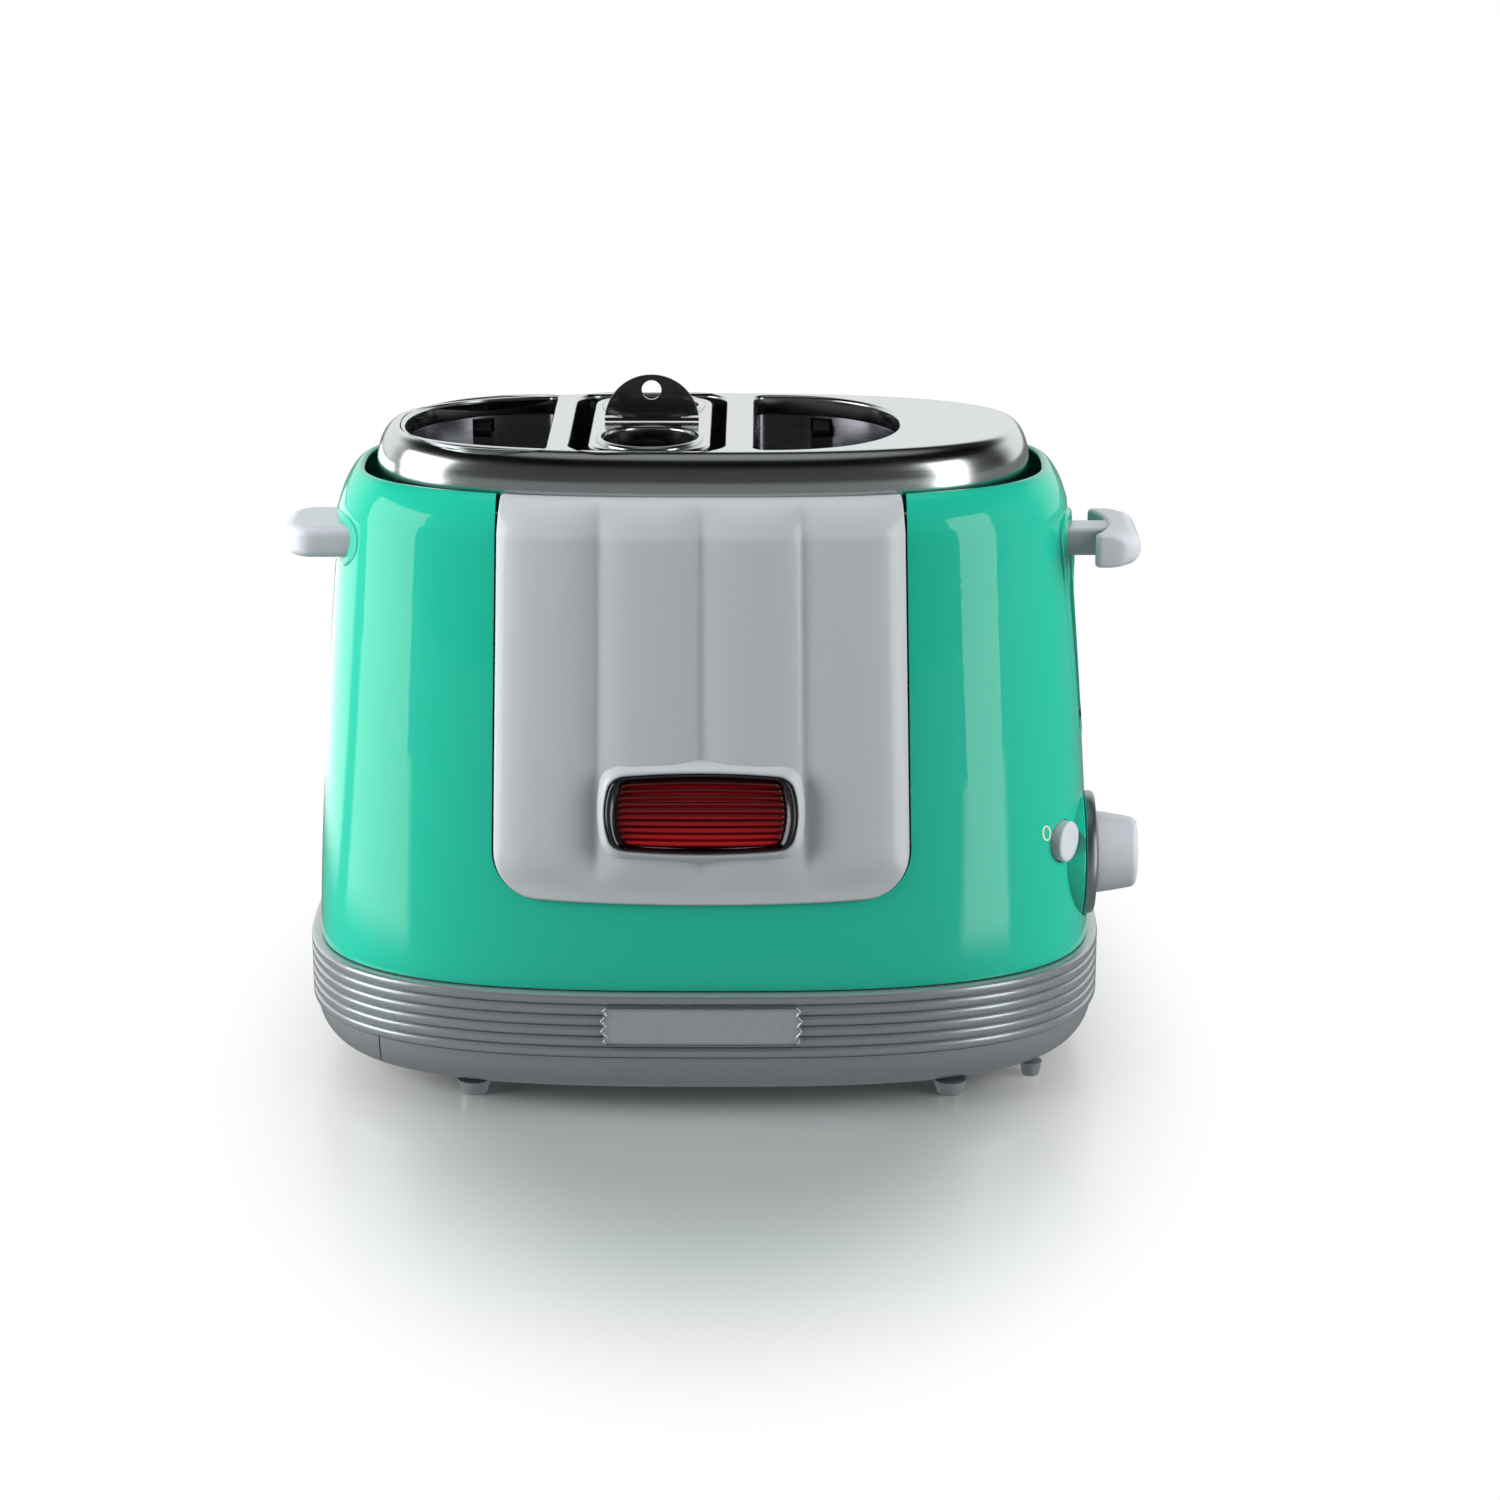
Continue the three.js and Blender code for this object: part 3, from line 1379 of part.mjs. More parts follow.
function makeElectrics() {
  const boardY = leverY - timerHalf;
  add(
    "control_board",
    block(boardX, boardX + boardSheet, boardY - boardHalf, boardY + boardHalf, standing, standing + boardHeight),
    boardGreen,
  );
  const onBoard = boardX + boardSheet + fit;
  add(
    "timer_control",
    block(onBoard, onBoard + timerLength, knobY - timerHalf, knobY + timerHalf, knobZ - timerHalf, knobZ + timerHalf),
    blackPlastic,
  );
  const reach = buttonDeep + buttonStem + buttonTravel;
  const switchY = buttonY + reach * Math.sin(buttonAngle);
  const switchZ = shellBottom + buttonUp;
  add(
    "stop_switch",
    block(onBoard, onBoard + switchLength, switchY - switchHalf, switchY + switchHalf, switchZ - switchHalf, switchZ + switchHalf),
    blackPlastic,
  );
  add(
    "electromagnet",
    block(
      rodX - magnetWidth / 2,
      rodX + magnetWidth / 2,
      leverY - magnetHalf,
      leverY + magnetHalf,
      magnetTop - magnetHeight,
      magnetTop,
    ),
    copper,
  );
  add(
    "terminal_block",
    block(
      terminalX - terminalHalfWidth,
      terminalX + terminalHalfWidth,
      terminalY - terminalHalfDepth,
      terminalY + terminalHalfDepth,
      panFloorTop + fit,
      panFloorTop + fit + terminalHeight,
    ),
    panelWhite,
  );
  const outside = halfDepth + bowlProud - fit;
  const inside = outside - glandInside;
  const profile = [
    [0, inside],
    [glandRadius, inside],
    [glandRadius, outside],
    [glandFlangeRadius, outside],
    [glandFlangeRadius, outside + glandFlange / 2],
    [glandRadius, outside + glandFlange],
    [0, outside + glandFlange],
  ];
  add("cord_gland", turned(profile, 16, "y", [terminalX, 0, footHeight + glandUp]), blackPlastic);
}

function makeCage() {
  const outline = shift(roundedRectangle(cageHalfWidth, cageHalfLength, cageCorner), cageX, 0);
  let cage = prism(outline, cageTop - cageSheet, cageTop);
  const ringRadius = sausageRadius + ringTube;
  for (const y of [-sausageY, sausageY]) {
    cage = cage.add(rod(ringRadius + ringTube, cageTop - cageSheet - ringTube, cageTop + ringTube, ringSegments, "z", [cageX, y, 0]));
  }
  const base = roundedRectangle(cageHalfWidth - cageBar, cageHalfLength - cageBar, cageCorner);
  cage = cage.add(prism(shift(base, cageX, 0), cageBottom, cageBottom + cageSheet));
  const outsideX = cageHalfWidth - cageBar;
  for (const sy of [-1, 1])
    for (const sx of [-1, 1])
      for (const step of [-1, 1]) {
        const x = cageX + sx * outsideX;
        const y = sy * sausageY + step * cageBarSpread;
        cage = cage.add(
          block(x - cageBar / 2, x + cageBar / 2, y - cageBarWide / 2, y + cageBarWide / 2, cageBottom, cageTop - cageSheet / 2),
        );
      }
  for (const y of [-sausageY, sausageY])
    cage = cage.subtract(
      rod(sausageRadius, cageBottom + cageSheet, cageTop + 2 * overrun, ringSegments, "z", [cageX, y, 0]),
    );
  add("sausage_cage", cage, polishedSteel);

  const base0 = cageTop + fit;
  const points = [];
  const steps = 18;
  for (let i = 0; i <= steps; i++) {
    const angle = (Math.PI * i) / steps;
    points.push([cageX + handleRadius * Math.cos(angle), base0 + handleRadius * Math.sin(angle)]);
  }
  const hole = [];
  for (let i = 0; i < 14; i++) {
    const angle = (2 * Math.PI * i) / 14;
    hole.push([cageX + handleHoleRadius * Math.cos(angle), base0 + handleHoleUp + handleHoleRadius * Math.sin(angle)]);
  }
  add("cage_handle", prismY(points, handleY - handleSheet / 2, handleY + handleSheet / 2, [hole]), blackSteel);
}

const wholeBowl = bowl();
makeShell();
makeFrontPanel();
makeBadge();
makeNamePlate();
makeBaseBand();
makeBasePan(wholeBowl);
makeCrumbTray(wholeBowl);
makeFeet();
makeUnderside();
makeLid();
makeLiner("bun_liner_left", leftSlotFlatX, -1, leftSlotX);
makeLiner("bun_liner_right", rightSlotFlatX, 1, rightSlotX);
makeHeaters();
makeWellPlates();
makeChassis();
makeCarriage();
makeGuides();
makeLever();
makeGrip();
makeControls();
makeElectrics();
makeCage();

// The origin is the centre of the underside of the whole
const extent = new THREE.Box3().setFromObject(toaster);
const centre = extent.getCenter(new THREE.Vector3());
toaster.position.set(-centre.x, -centre.y, -extent.min.z);

export default toaster;
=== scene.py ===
# %% [markdown]
# # A hot dog toaster in mint enamel
# The toaster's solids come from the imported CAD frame. This lesson dresses them: it rebuilds each
# visible piece with smoother and finer geometry, gives it a procedural finish, and then lights it
# like a studio product shot. Every step first says what the piece is on the real toaster.

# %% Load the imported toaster
from math import copysign, cos, hypot, pi, radians, sin, sqrt

import bmesh
import bpy
from mathutils import Matrix, Vector


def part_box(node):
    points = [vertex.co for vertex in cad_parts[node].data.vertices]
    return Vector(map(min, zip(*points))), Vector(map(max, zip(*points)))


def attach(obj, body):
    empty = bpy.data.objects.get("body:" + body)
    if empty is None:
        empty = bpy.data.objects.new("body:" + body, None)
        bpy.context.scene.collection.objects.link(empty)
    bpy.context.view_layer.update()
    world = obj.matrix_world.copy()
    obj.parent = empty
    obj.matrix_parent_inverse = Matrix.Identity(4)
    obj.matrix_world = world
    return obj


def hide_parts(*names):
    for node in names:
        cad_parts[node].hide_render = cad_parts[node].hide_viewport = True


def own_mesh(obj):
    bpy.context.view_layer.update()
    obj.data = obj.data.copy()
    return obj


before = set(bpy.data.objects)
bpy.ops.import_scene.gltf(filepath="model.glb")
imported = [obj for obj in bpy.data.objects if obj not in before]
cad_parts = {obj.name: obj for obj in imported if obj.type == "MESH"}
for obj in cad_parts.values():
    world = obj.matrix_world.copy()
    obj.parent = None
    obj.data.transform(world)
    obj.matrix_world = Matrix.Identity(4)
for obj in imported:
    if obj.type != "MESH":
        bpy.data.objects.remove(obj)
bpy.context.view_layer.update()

shell_low, shell_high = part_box("outer_shell")
body_middle = Vector(((shell_low.x + shell_high.x) / 2, (shell_low.y + shell_high.y) / 2, 0))
print("nodes", len(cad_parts), "body middle", [round(c, 5) for c in body_middle])

# %% [markdown]
# ## The camera
# The product shot was taken with a long lens from a little above the front. The lens here is 91 mm
# on a 36 mm sensor, about 1.25 m from the toaster. Its place is written in millimetres from the
# middle of the body, the same measure that all the pieces below use.

# %% Place the camera
MM = 0.001


def place(x, y, z):
    """A point in millimetres from the middle of the body, as a point of the frame in metres."""
    return body_middle + Vector((x, y, z)) * MM


def add_object(name, data):
    made = bpy.data.objects.new(name, data)
    bpy.context.scene.collection.objects.link(made)
    return made


camera_lens = bpy.data.cameras.new("product_lens")
camera_lens.lens = 91.2
camera_lens.sensor_width = 36
camera_lens.clip_start, camera_lens.clip_end = 0.05, 60
camera = add_object("product_camera", camera_lens)
camera.location = place(19.37, -1191.2, 476.4)
camera.rotation_euler = Vector((-0.003524, 0.952842, -0.303452)).to_track_quat("-Z", "Y").to_euler()
bpy.context.scene.camera = camera
print("camera at", [round(c, 3) for c in camera.location])

# %% [markdown]
# ## Finishes and the groups they share
# Real paint and metal are never perfectly even: enamel has a faint orange peel, steel has fine
# brushing, and fingers leave smudges. Each of these effects is one node group, so that several
# finishes can use it at their own scale. All of them read Object coordinates, which keeps the
# pattern fixed to the piece when it moves.

# %% Node helpers


def node(tree, kind, sockets=None, **settings):
    """A new node. Each socket takes a number, a colour or another node's output."""
    made = tree.nodes.new("ShaderNode" + kind)
    for label, value in settings.items():
        setattr(made, label, value)
    for label, value in (sockets or {}).items():
        if isinstance(value, bpy.types.NodeSocket):
            tree.links.new(value, made.inputs[label])
        else:
            made.inputs[label].default_value = value
    return made


def object_place(tree):
    return node(tree, "TexCoord").outputs["Object"]


def noise(tree, scale, detail, roughness, vector=None):
    return node(tree, "TexNoise", {"Scale": scale, "Detail": detail, "Roughness": roughness,
                                   "Vector": vector or object_place(tree)}).outputs["Fac"]


def remap(tree, source, low, high, to_low, to_high, **settings):
    return node(tree, "MapRange", {"Value": source, "From Min": low, "From Max": high,
                                   "To Min": to_low, "To Max": to_high}, **settings).outputs["Result"]


def maths(tree, operation, a, b=0.0):
    return node(tree, "Math", {0: a, 1: b}, operation=operation).outputs[0]


def mix_numbers(tree, factor, a, b):
    return node(tree, "Mix", {"Factor": factor, "A": a, "B": b}, data_type="FLOAT").outputs["Result"]


def effect_group(name, inputs, output, kind, build):
    """A node group with number inputs and the one output that build(group, inputs) returns."""
    group = bpy.data.node_groups.new(name, "ShaderNodeTree")
    for label, value in inputs.items():
        socket = group.interface.new_socket(name=label, in_out="INPUT", socket_type="NodeSocketFloat")
        socket.default_value = value
    group.interface.new_socket(name=output, in_out="OUTPUT", socket_type="NodeSocket" + kind)
    made = build(group, group.nodes.new("NodeGroupInput").outputs)
    group.links.new(made, group.nodes.new("NodeGroupOutput").inputs[output])
    return group


# %% Smudges, orange peel, brushing and flakes


def build_smudges(group, given):
    return remap(group, noise(group, given["Scale"], 6, 0.65), 0.30, 0.75, given["Low"], given["High"])


def build_peel(group, given):
    ripple = noise(group, given["Scale"], 2, 0.4)
    return node(group, "Bump", {"Strength": given["Strength"], "Distance": given["Distance"],
                                "Height": ripple}).outputs["Normal"]


def make_brushing(name, stretch):
    """Fine scratches along one direction: noise squeezed across it. Fac is 0 to 1."""
    def build(group, given):
        squeezed = node(group, "Mapping", {"Vector": object_place(group), "Scale": stretch})
        return noise(group, given["Scale"], 4, 0.7, squeezed.outputs["Vector"])
    return effect_group(name, {"Scale": 400}, "Fac", "Float", build)


def build_flakes(group, given):
    cells = node(group, "TexVoronoi", {"Vector": object_place(group), "Scale": given["Scale"]})
    return node(group, "SeparateColor", {"Color": cells.outputs["Color"]}).outputs["Red"]


smudges = effect_group("smudges", {"Low": 0.2, "High": 0.3, "Scale": 30}, "Roughness", "Float", build_smudges)
orange_peel = effect_group("orange_peel", {"Scale": 700, "Strength": 0.03, "Distance": 0.0004},
                           "Normal", "Vector", build_peel)
brushed_level = make_brushing("brushed_level", (0.04, 0.04, 1.0))
brushed_upright = make_brushing("brushed_upright", (1.0, 1.0, 0.05))
paint_flakes = effect_group("paint_flakes", {"Scale": 2600}, "Fac", "Float", build_flakes)
print("effect groups", [g.name for g in bpy.data.node_groups])

# %% Finish helpers


def finish(name, colour, roughness, metallic=0.0, coat=0.0, coat_roughness=0.03, ior=1.5):
    """A material with its plain values on the shader itself. Returns it, its tree and its shader."""
    material = bpy.data.materials.new(name)
    material.use_nodes = True
    shader = material.node_tree.nodes["Principled BSDF"]
    for label, value in {"Base Color": (*colour, 1), "Roughness": roughness, "Metallic": metallic,
                         "Coat Weight": coat, "Coat Roughness": coat_roughness, "IOR": ior}.items():
        shader.inputs[label].default_value = value
    return material, material.node_tree, shader


def effect(tree, group, output, **values):
    """Places a shared effect with its own values, and returns its output."""
    return node(tree, "Group", values, node_tree=group).outputs[output]


def shade(colour, share):
    return tuple(min(c * share, 1) for c in colour)


def mottled(tree, shader, factor, first, second):
    """Mixes two near colours by a factor into the base colour."""
    mix = node(tree, "Mix", {"Factor": factor, "A": (*first, 1), "B": (*second, 1)}, data_type="RGBA")
    tree.links.new(mix.outputs["Result"], shader.inputs["Base Color"])


def give_smudges(tree, shader, low, high, scale):
    level = effect(tree, smudges, "Roughness", Low=low, High=high, Scale=scale)
    tree.links.new(level, shader.inputs["Roughness"])


def give_peel(tree, shader, scale, strength, distance=0.0004, coat=True):
    ripple = effect(tree, orange_peel, "Normal", Scale=scale, Strength=strength, Distance=distance)
    for label in ("Normal", "Coat Normal") if coat else ("Normal",):
        tree.links.new(ripple, shader.inputs[label])


# %% [markdown]
# ## Mint enamel, white plastics and silver paint
# The shell is sprayed sheet in a glossy mint: a coloured base under a clear coat. The panel, knob,
# paddle and grip are injection-moulded plastic in cool white. The base is plastic in a silver paint
# whose flakes sparkle a little, so its base colour is broken up by tiny cells.

# %% Paint and plastic finishes


def make_mint_enamel():
    material, tree, shader = finish("mint_enamel", (0.012, 0.40, 0.270), 0.34, coat=1.0, coat_roughness=0.02)
    shader.inputs["Specular IOR Level"].default_value = 0.1
    mottled(tree, shader, noise(tree, 9, 2, 0.5), (0.010, 0.392, 0.263), (0.014, 0.408, 0.277))
    give_smudges(tree, shader, 0.30, 0.34, 22)
    give_peel(tree, shader, 420, 0.035)
    return material


def make_moulded_white(name, colour, low, high, coat, peel=0.05):
    material, tree, shader = finish(name, colour, low, coat=coat, coat_roughness=0.06)
    mottled(tree, shader, noise(tree, 14, 2, 0.5), shade(colour, 0.985), shade(colour, 1.015))
    give_smudges(tree, shader, low, high, 40)
    give_peel(tree, shader, 900, peel, 0.0002)
    return material


def make_silver_paint(name, colour):
    material, tree, shader = finish(name, colour, 0.27, metallic=0.78, coat=0.35, coat_roughness=0.10)
    flakes = effect(tree, paint_flakes, "Fac", Scale=2600)
    mottled(tree, shader, flakes, shade(colour, 0.95), shade(colour, 1.05))
    give_smudges(tree, shader, 0.27, 0.31, 25)
    give_peel(tree, shader, 1500, 0.08, 0.0002, coat=False)
    return material


# %% [markdown]
# ## Metals, lens and dark finishes
# The lid and the cage are polished steel: a metal whose roughness is broken by fine brushing, so
# reflections smear a little along it. The badge's frame is dark chrome and its lens a deep red
# plastic. Inside there are plated sheet, mica boards, a circuit board and a copper winding.

# %% Metal and dark finishes


def make_metal(name, colour, low, high, lines, line_scale, bump=0.02):
    material, tree, shader = finish(name, colour, low, metallic=1.0)
    brushing = effect(tree, lines, "Fac", Scale=line_scale)
    mottled(tree, shader, brushing, shade(colour, 0.92), shade(colour, 1.06))
    tree.links.new(remap(tree, brushing, 0.3, 0.7, low, high), shader.inputs["Roughness"])
    height = node(tree, "Bump", {"Strength": bump, "Distance": 0.0002, "Height": brushing})
    tree.links.new(height.outputs["Normal"], shader.inputs["Normal"])
    return material


def make_dark(name, colour, low, high, coat, scale, strength):
    material, tree, shader = finish(name, colour, low, coat=coat, coat_roughness=0.08)
    give_smudges(tree, shader, low, high, scale)
    mottled(tree, shader, noise(tree, scale, 3, 0.5), shade(colour, 0.9), shade(colour, 1.1))
    give_peel(tree, shader, scale * 20, strength, 0.0002, coat=False)
    return material


LENS_RIBS, LENS_LOW, LENS_HIGH = 10, 0.08952, 0.10948


def make_red_lens():
    """Deep red under a clear skin, with painted shade: the colour is darker in the valleys between the ribs
    and towards the top of the lens, as light falls on it.
    """
    material, tree, shader = finish("red_lens", (0.30, 0.004, 0.005), 0.14, coat=1.0, coat_roughness=0.03)
    up = node(tree, "SeparateXYZ", {"Vector": object_place(tree)}).outputs["Z"]
    # Painted shade: lighter at the bottom of the lens, darker towards its top.
    painted_lower_light = remap(tree, up, 0.0885, 0.110, 1.0, 0.35)
    wave = maths(tree, "COSINE", remap(tree, up, LENS_LOW, LENS_HIGH, -pi, (2 * LENS_RIBS - 1) * pi))
    # Painted shade: rib is low, so the colour is dark, in the valleys between the ribs.
    rib = remap(tree, wave, -1.0, 0.3, 0.12, 1.0)
    # Mixes the painted shade's dark colour with the lens's own red.
    mottled(tree, shader, maths(tree, "MULTIPLY", painted_lower_light, rib), (0.012, 0.0004, 0.0008), (0.33, 0.0025, 0.006))
    give_smudges(tree, shader, 0.12, 0.16, 60)
    return material


# %% The finish of each material slot, and three special ones
finish_of_slot = {
    "shell_paint": make_mint_enamel(),
    "panel_gloss": make_moulded_white("panel_white", (0.41, 0.435, 0.445), 0.28, 0.285, 0.6),
    "trim_gloss": make_moulded_white("trim_white", (0.50, 0.52, 0.56), 0.33, 0.37, 0.25, 0.09),
    "silver_paint": make_silver_paint("silver_paint", (0.46, 0.505, 0.53)),
    "polished_steel": make_metal("polished_steel", (0.73, 0.765, 0.77), 0.15, 0.21, brushed_level, 700, 0.01),
    "dark_chrome": make_metal("dark_chrome", (0.10, 0.10, 0.11), 0.10, 0.16, brushed_level, 900),
    "red_lens": make_red_lens(),
    "black_steel": make_dark("black_enamel", (0.010, 0.010, 0.011), 0.12, 0.22, 0.8, 50, 0.03),
    "black_plastic": make_dark("black_plastic", (0.020, 0.020, 0.021), 0.45, 0.60, 0.0, 90, 0.2),
    "sheet_steel": make_metal("sheet_steel", (0.22, 0.225, 0.245), 0.20, 0.30, brushed_level, 500, 0.02),
    "mica": make_dark("mica_board", (0.12, 0.115, 0.105), 0.35, 0.60, 0.0, 120, 0.3),
    "board": make_dark("circuit_board", (0.02, 0.13, 0.05), 0.25, 0.40, 0.2, 150, 0.3),
    "copper": make_metal("copper_wire", (0.60, 0.26, 0.12), 0.25, 0.45, brushed_level, 1500, 0.3),
    "zinc": make_metal("zinc_plate", (0.62, 0.63, 0.65), 0.25, 0.40, brushed_level, 900, 0.05),
}
plate_silver = make_silver_paint("plate_silver", (0.68, 0.73, 0.75))
spun_metal = make_metal("spun_metal", (0.50, 0.53, 0.57), 0.34, 0.44, brushed_upright, 900, 0.04)
cream_print = make_dark("cream_print", (0.68, 0.66, 0.45), 0.35, 0.50, 0.2, 200, 0.05)
print("finishes", len(bpy.data.materials))

# %% [markdown]
# ## Measuring the body
# Seen from above the body is a superellipse: rounder than a box, squarer than an ellipse. It draws
# in towards the top. One function gives that outline at any height, and every piece that touches
# the body asks it, so they all follow the same curve. Points are spread evenly along the outline,
# because even quads give even reflections in the gloss.

# %% Outline of the body
SHELL_BOTTOM, RIM_TOP, ROLL_START = 41.5, 195.0, 184.0
SHELL_WALL, HEM_TOP = 2.2, 42.1


def body_outline(height):
    """Half width, half depth and power of the superellipse at a height."""
    climb = min(max((height - SHELL_BOTTOM) / (RIM_TOP - SHELL_BOTTOM), 0), 1)
    drawn = climb ** 1.35
    return 126.6 - 11.1 * drawn, 76 - 19 * drawn, 2.9 - 0.25 * climb


def moved_out(outline, x, y, out, height):
    """A point of a superellipse, moved out along its normal."""
    wide, deep, power = outline
    nx = copysign(abs(x / wide) ** (power - 1), x) / wide
    ny = copysign(abs(y / deep) ** (power - 1), y) / deep
    size = hypot(nx, ny)
    return Vector((x + out * nx / size, y + out * ny / size, height))


def outline_point(outline, angle, out, height):
    """The point of a superellipse at an angle, moved out."""
    wide, deep, power = outline
    c, s = cos(angle), sin(angle)
    x = wide * copysign(abs(c) ** (2 / power), c)
    y = deep * copysign(abs(s) ** (2 / power), s)
    return moved_out(outline, x, y, out, height)


def outline_rings(outline, angles, rows):
    """One ring for each row (distance outwards, height)."""
    return [[outline_point(outline, a, out, height) for a in angles] for out, height in rows]


def even_steps(chain, count):
    """Where equal distances along a chain of points fall: a stretch's number and a share of it."""
    run, k = [0.0], 0
    for a, b in zip(chain, chain[1:]):
        run.append(run[-1] + (b - a).length)
    for i in range(count):
        goal = run[-1] * i / count
        while run[k + 1] < goal:
            k += 1
        yield k, (goal - run[k]) / (run[k + 1] - run[k])


def even_angles(count, outline):
    """Angles whose points lie at equal distances along the outline."""
    fine = 6000
    chain = [outline_point(outline, 2 * pi * i / fine, 0, 0) for i in range(fine + 1)]
    return [2 * pi * (k + share) / fine for k, share in even_steps(chain, count)]


def front_point(x, height, out=0.0):
    """A point on the front of the body at a sideways place, moved out along the normal."""
    wide, deep, power = outline = body_outline(height)
    return moved_out(outline, x, -deep * (1 - (abs(x) / wide) ** power) ** (1 / power), out, height)


def side_point(y, height, out, side=1):
    """A point on the right (side 1) or left (-1) of the body, moved out along the normal."""
    wide, deep, power = outline = body_outline(height)
    point = moved_out(outline, wide * (1 - (abs(y) / deep) ** power) ** (1 / power), y, out, height)
    return Vector((side * point.x, point.y, point.z))


RING_POINTS = 288
body_angles = even_angles(RING_POINTS, body_outline(90))
print("outline at the bottom", body_outline(SHELL_BOTTOM), "at the rim", body_outline(RIM_TOP))

# %% [markdown]
# ## Tools for making pieces
# Most pieces are lofts: one ring of edges is extruded again and again, and each new ring is moved
# to its place. Other tools, such as the spin for round pieces and the pillow for flat ones, follow
# where they are first used. All pieces are drawn in millimetres and put in place at the end by one
# function, which also joins doubles, turns the faces outwards and hands the piece to its CAD body.

# %% Loft


def among(geometry, kind):
    return [g for g in geometry if isinstance(g, kind)]


def next_ring(bm, edges, turn, spot):
    """Extrudes a ring of edges, moves each new point to spot(its number), returns the new ring."""
    made = bmesh.ops.extrude_edge_only(bm, edges=edges)["geom"]
    for v in among(made, bmesh.types.BMVert):
        v.co = spot(v[turn])
    return among(made, bmesh.types.BMEdge)


def loft(rings, ends="join"):
    """Extrudes a ring of edges through all rings. Ends: join closes the last ring to the first,
    cap fills both ends, open leaves them."""
    bm = bmesh.new()
    turn = bm.verts.layers.int.new("turn")
    count = len(rings[0])
    for i, v in enumerate(bmesh.ops.create_circle(bm, cap_ends=False, radius=1, segments=count)["verts"]):
        v[turn] = i
        v.co = rings[0][i]
    first = edges = list(bm.edges)
    for ring in rings[1:] + ([rings[0]] if ends == "join" else []):
        edges = next_ring(bm, edges, turn, ring.__getitem__)
    if ends == "cap":
        bmesh.ops.contextual_create(bm, geom=first)
        bmesh.ops.contextual_create(bm, geom=edges)
    return bm


# %% Putting a piece in place
MERGE_WITHIN = 1e-4


def as_mesh(bm, name):
    mesh = bpy.data.meshes.new(name)
    bm.to_mesh(mesh)
    bm.free()
    return mesh


def put(bm, name, slot, stands_for=None, body="housing", sharp=40, special=None):
    """Makes a finished piece of a bmesh drawn in millimetres, and lets it ride on its CAD body.
    Its finish is the slot's own, or a special one."""
    bmesh.ops.remove_doubles(bm, verts=bm.verts, dist=MERGE_WITHIN)
    bmesh.ops.dissolve_degenerate(bm, edges=bm.edges, dist=1e-5)
    bmesh.ops.recalc_face_normals(bm, faces=bm.faces)
    bmesh.ops.transform(bm, matrix=Matrix.Translation(body_middle) @ Matrix.Scale(MM, 4), verts=bm.verts)
    mesh = as_mesh(bm, name)
    mesh.shade_smooth()
    mesh.set_sharp_from_angle(angle=radians(sharp))
    mesh.materials.append(special or finish_of_slot[slot])
    piece = add_object(name, mesh)
    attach(piece, body)
    if stands_for:
        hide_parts(stands_for)
    print(f"{name}: {len(mesh.polygons)} faces")
    return piece


# %% [markdown]
# ## The enamelled shell
# The shell is one deep-drawn skin: it leans in as it rises and rolls over into a soft rim around
# the lid. It is lofted from rings of the outline, outside wall first, then the roll, then down the
# inside. Then a boss for the dial is joined on, and the openings are cut: the dial's pocket, the
# lever's slot, a hole for the stop button and the place of the front panel.

# %% Loft the shell


def curve_through(points, steps=4):
    """A smooth curve through points (Catmull-Rom)."""
    points = [Vector(p) for p in points]
    out = []
    for i in range(len(points) - 1):
        a, b, c, d = points[max(i - 1, 0)], points[i], points[i + 1], points[min(i + 2, len(points) - 1)]
        for k in range(steps):
            t = k / steps
            bend = (2 * a - 5 * b + 4 * c - d) * t * t + (3 * b - a - 3 * c + d) * t ** 3
            out.append(0.5 * (2 * b + (c - a) * t + bend))
    return out + [points[-1]]


rim_roll = [(0, ROLL_START), (-1.01, 187.96), (-2.3, 191.04), (-3.89, 193.57), (-5.33, 194.78),
            (-6.48, RIM_TOP), (-7.2, 194.56)]
rim_curve = curve_through(rim_roll, 3)
shell_rows = [(-0.5, SHELL_BOTTOM), (-0.1, 41.65), (0, HEM_TOP)]
shell_rows += [(0, HEM_TOP + (ROLL_START - HEM_TOP) * i / 36) for i in range(1, 36)]
shell_rows += [tuple(p) for p in rim_curve]
shell_rows += [(-7.35, 194.0), (-7.1, 193.4), (-5.8, 192.2), (-3.6, 189.5), (-SHELL_WALL, ROLL_START)]
shell_rows += [(-SHELL_WALL, ROLL_START - (ROLL_START - SHELL_BOTTOM) * i / 12) for i in range(1, 13)]
shell = loft([[outline_point(body_outline(height), a, out, height) for a in body_angles]
              for out, height in shell_rows])
print("shell rings", len(shell_rows))

# %% Angles and outlines that grow


def turns(steps, first=0, span=pi / 2):
    """Even angles over a span, from 0 or from a later step on."""
    return [span * i / steps for i in range(first, steps + 1)]


def grown_by(points, distances):
    """A closed flat outline moved out along its normals by a distance of each point's own."""
    out = []
    for i, (p, distance) in enumerate(zip(points, distances)):
        before, after = points[i - 1], points[(i + 1) % len(points)]
        a, b = (p - before).normalized(), (after - p).normalized()
        normal = Vector((a.y + b.y, -a.x - b.x)).normalized()
        out.append(p + normal * distance / max(normal.dot(Vector((a.y, -a.x))), 0.4))
    return out


def grown(points, distance):
    """A closed flat outline moved out along its normals (the outline runs anticlockwise)."""
    return grown_by(points, [distance] * len(points))


# %% Outline of the front panel
PANEL_BOTTOM, PANEL_TOP, PANEL_CORNER = 71.0, RIM_TOP, 15.0


def panel_side(height):
    """Half width of the panel by its straight sides alone, which close in a little."""
    return 65.7 - 2.5 * (height - PANEL_BOTTOM) / (PANEL_TOP - PANEL_BOTTOM)


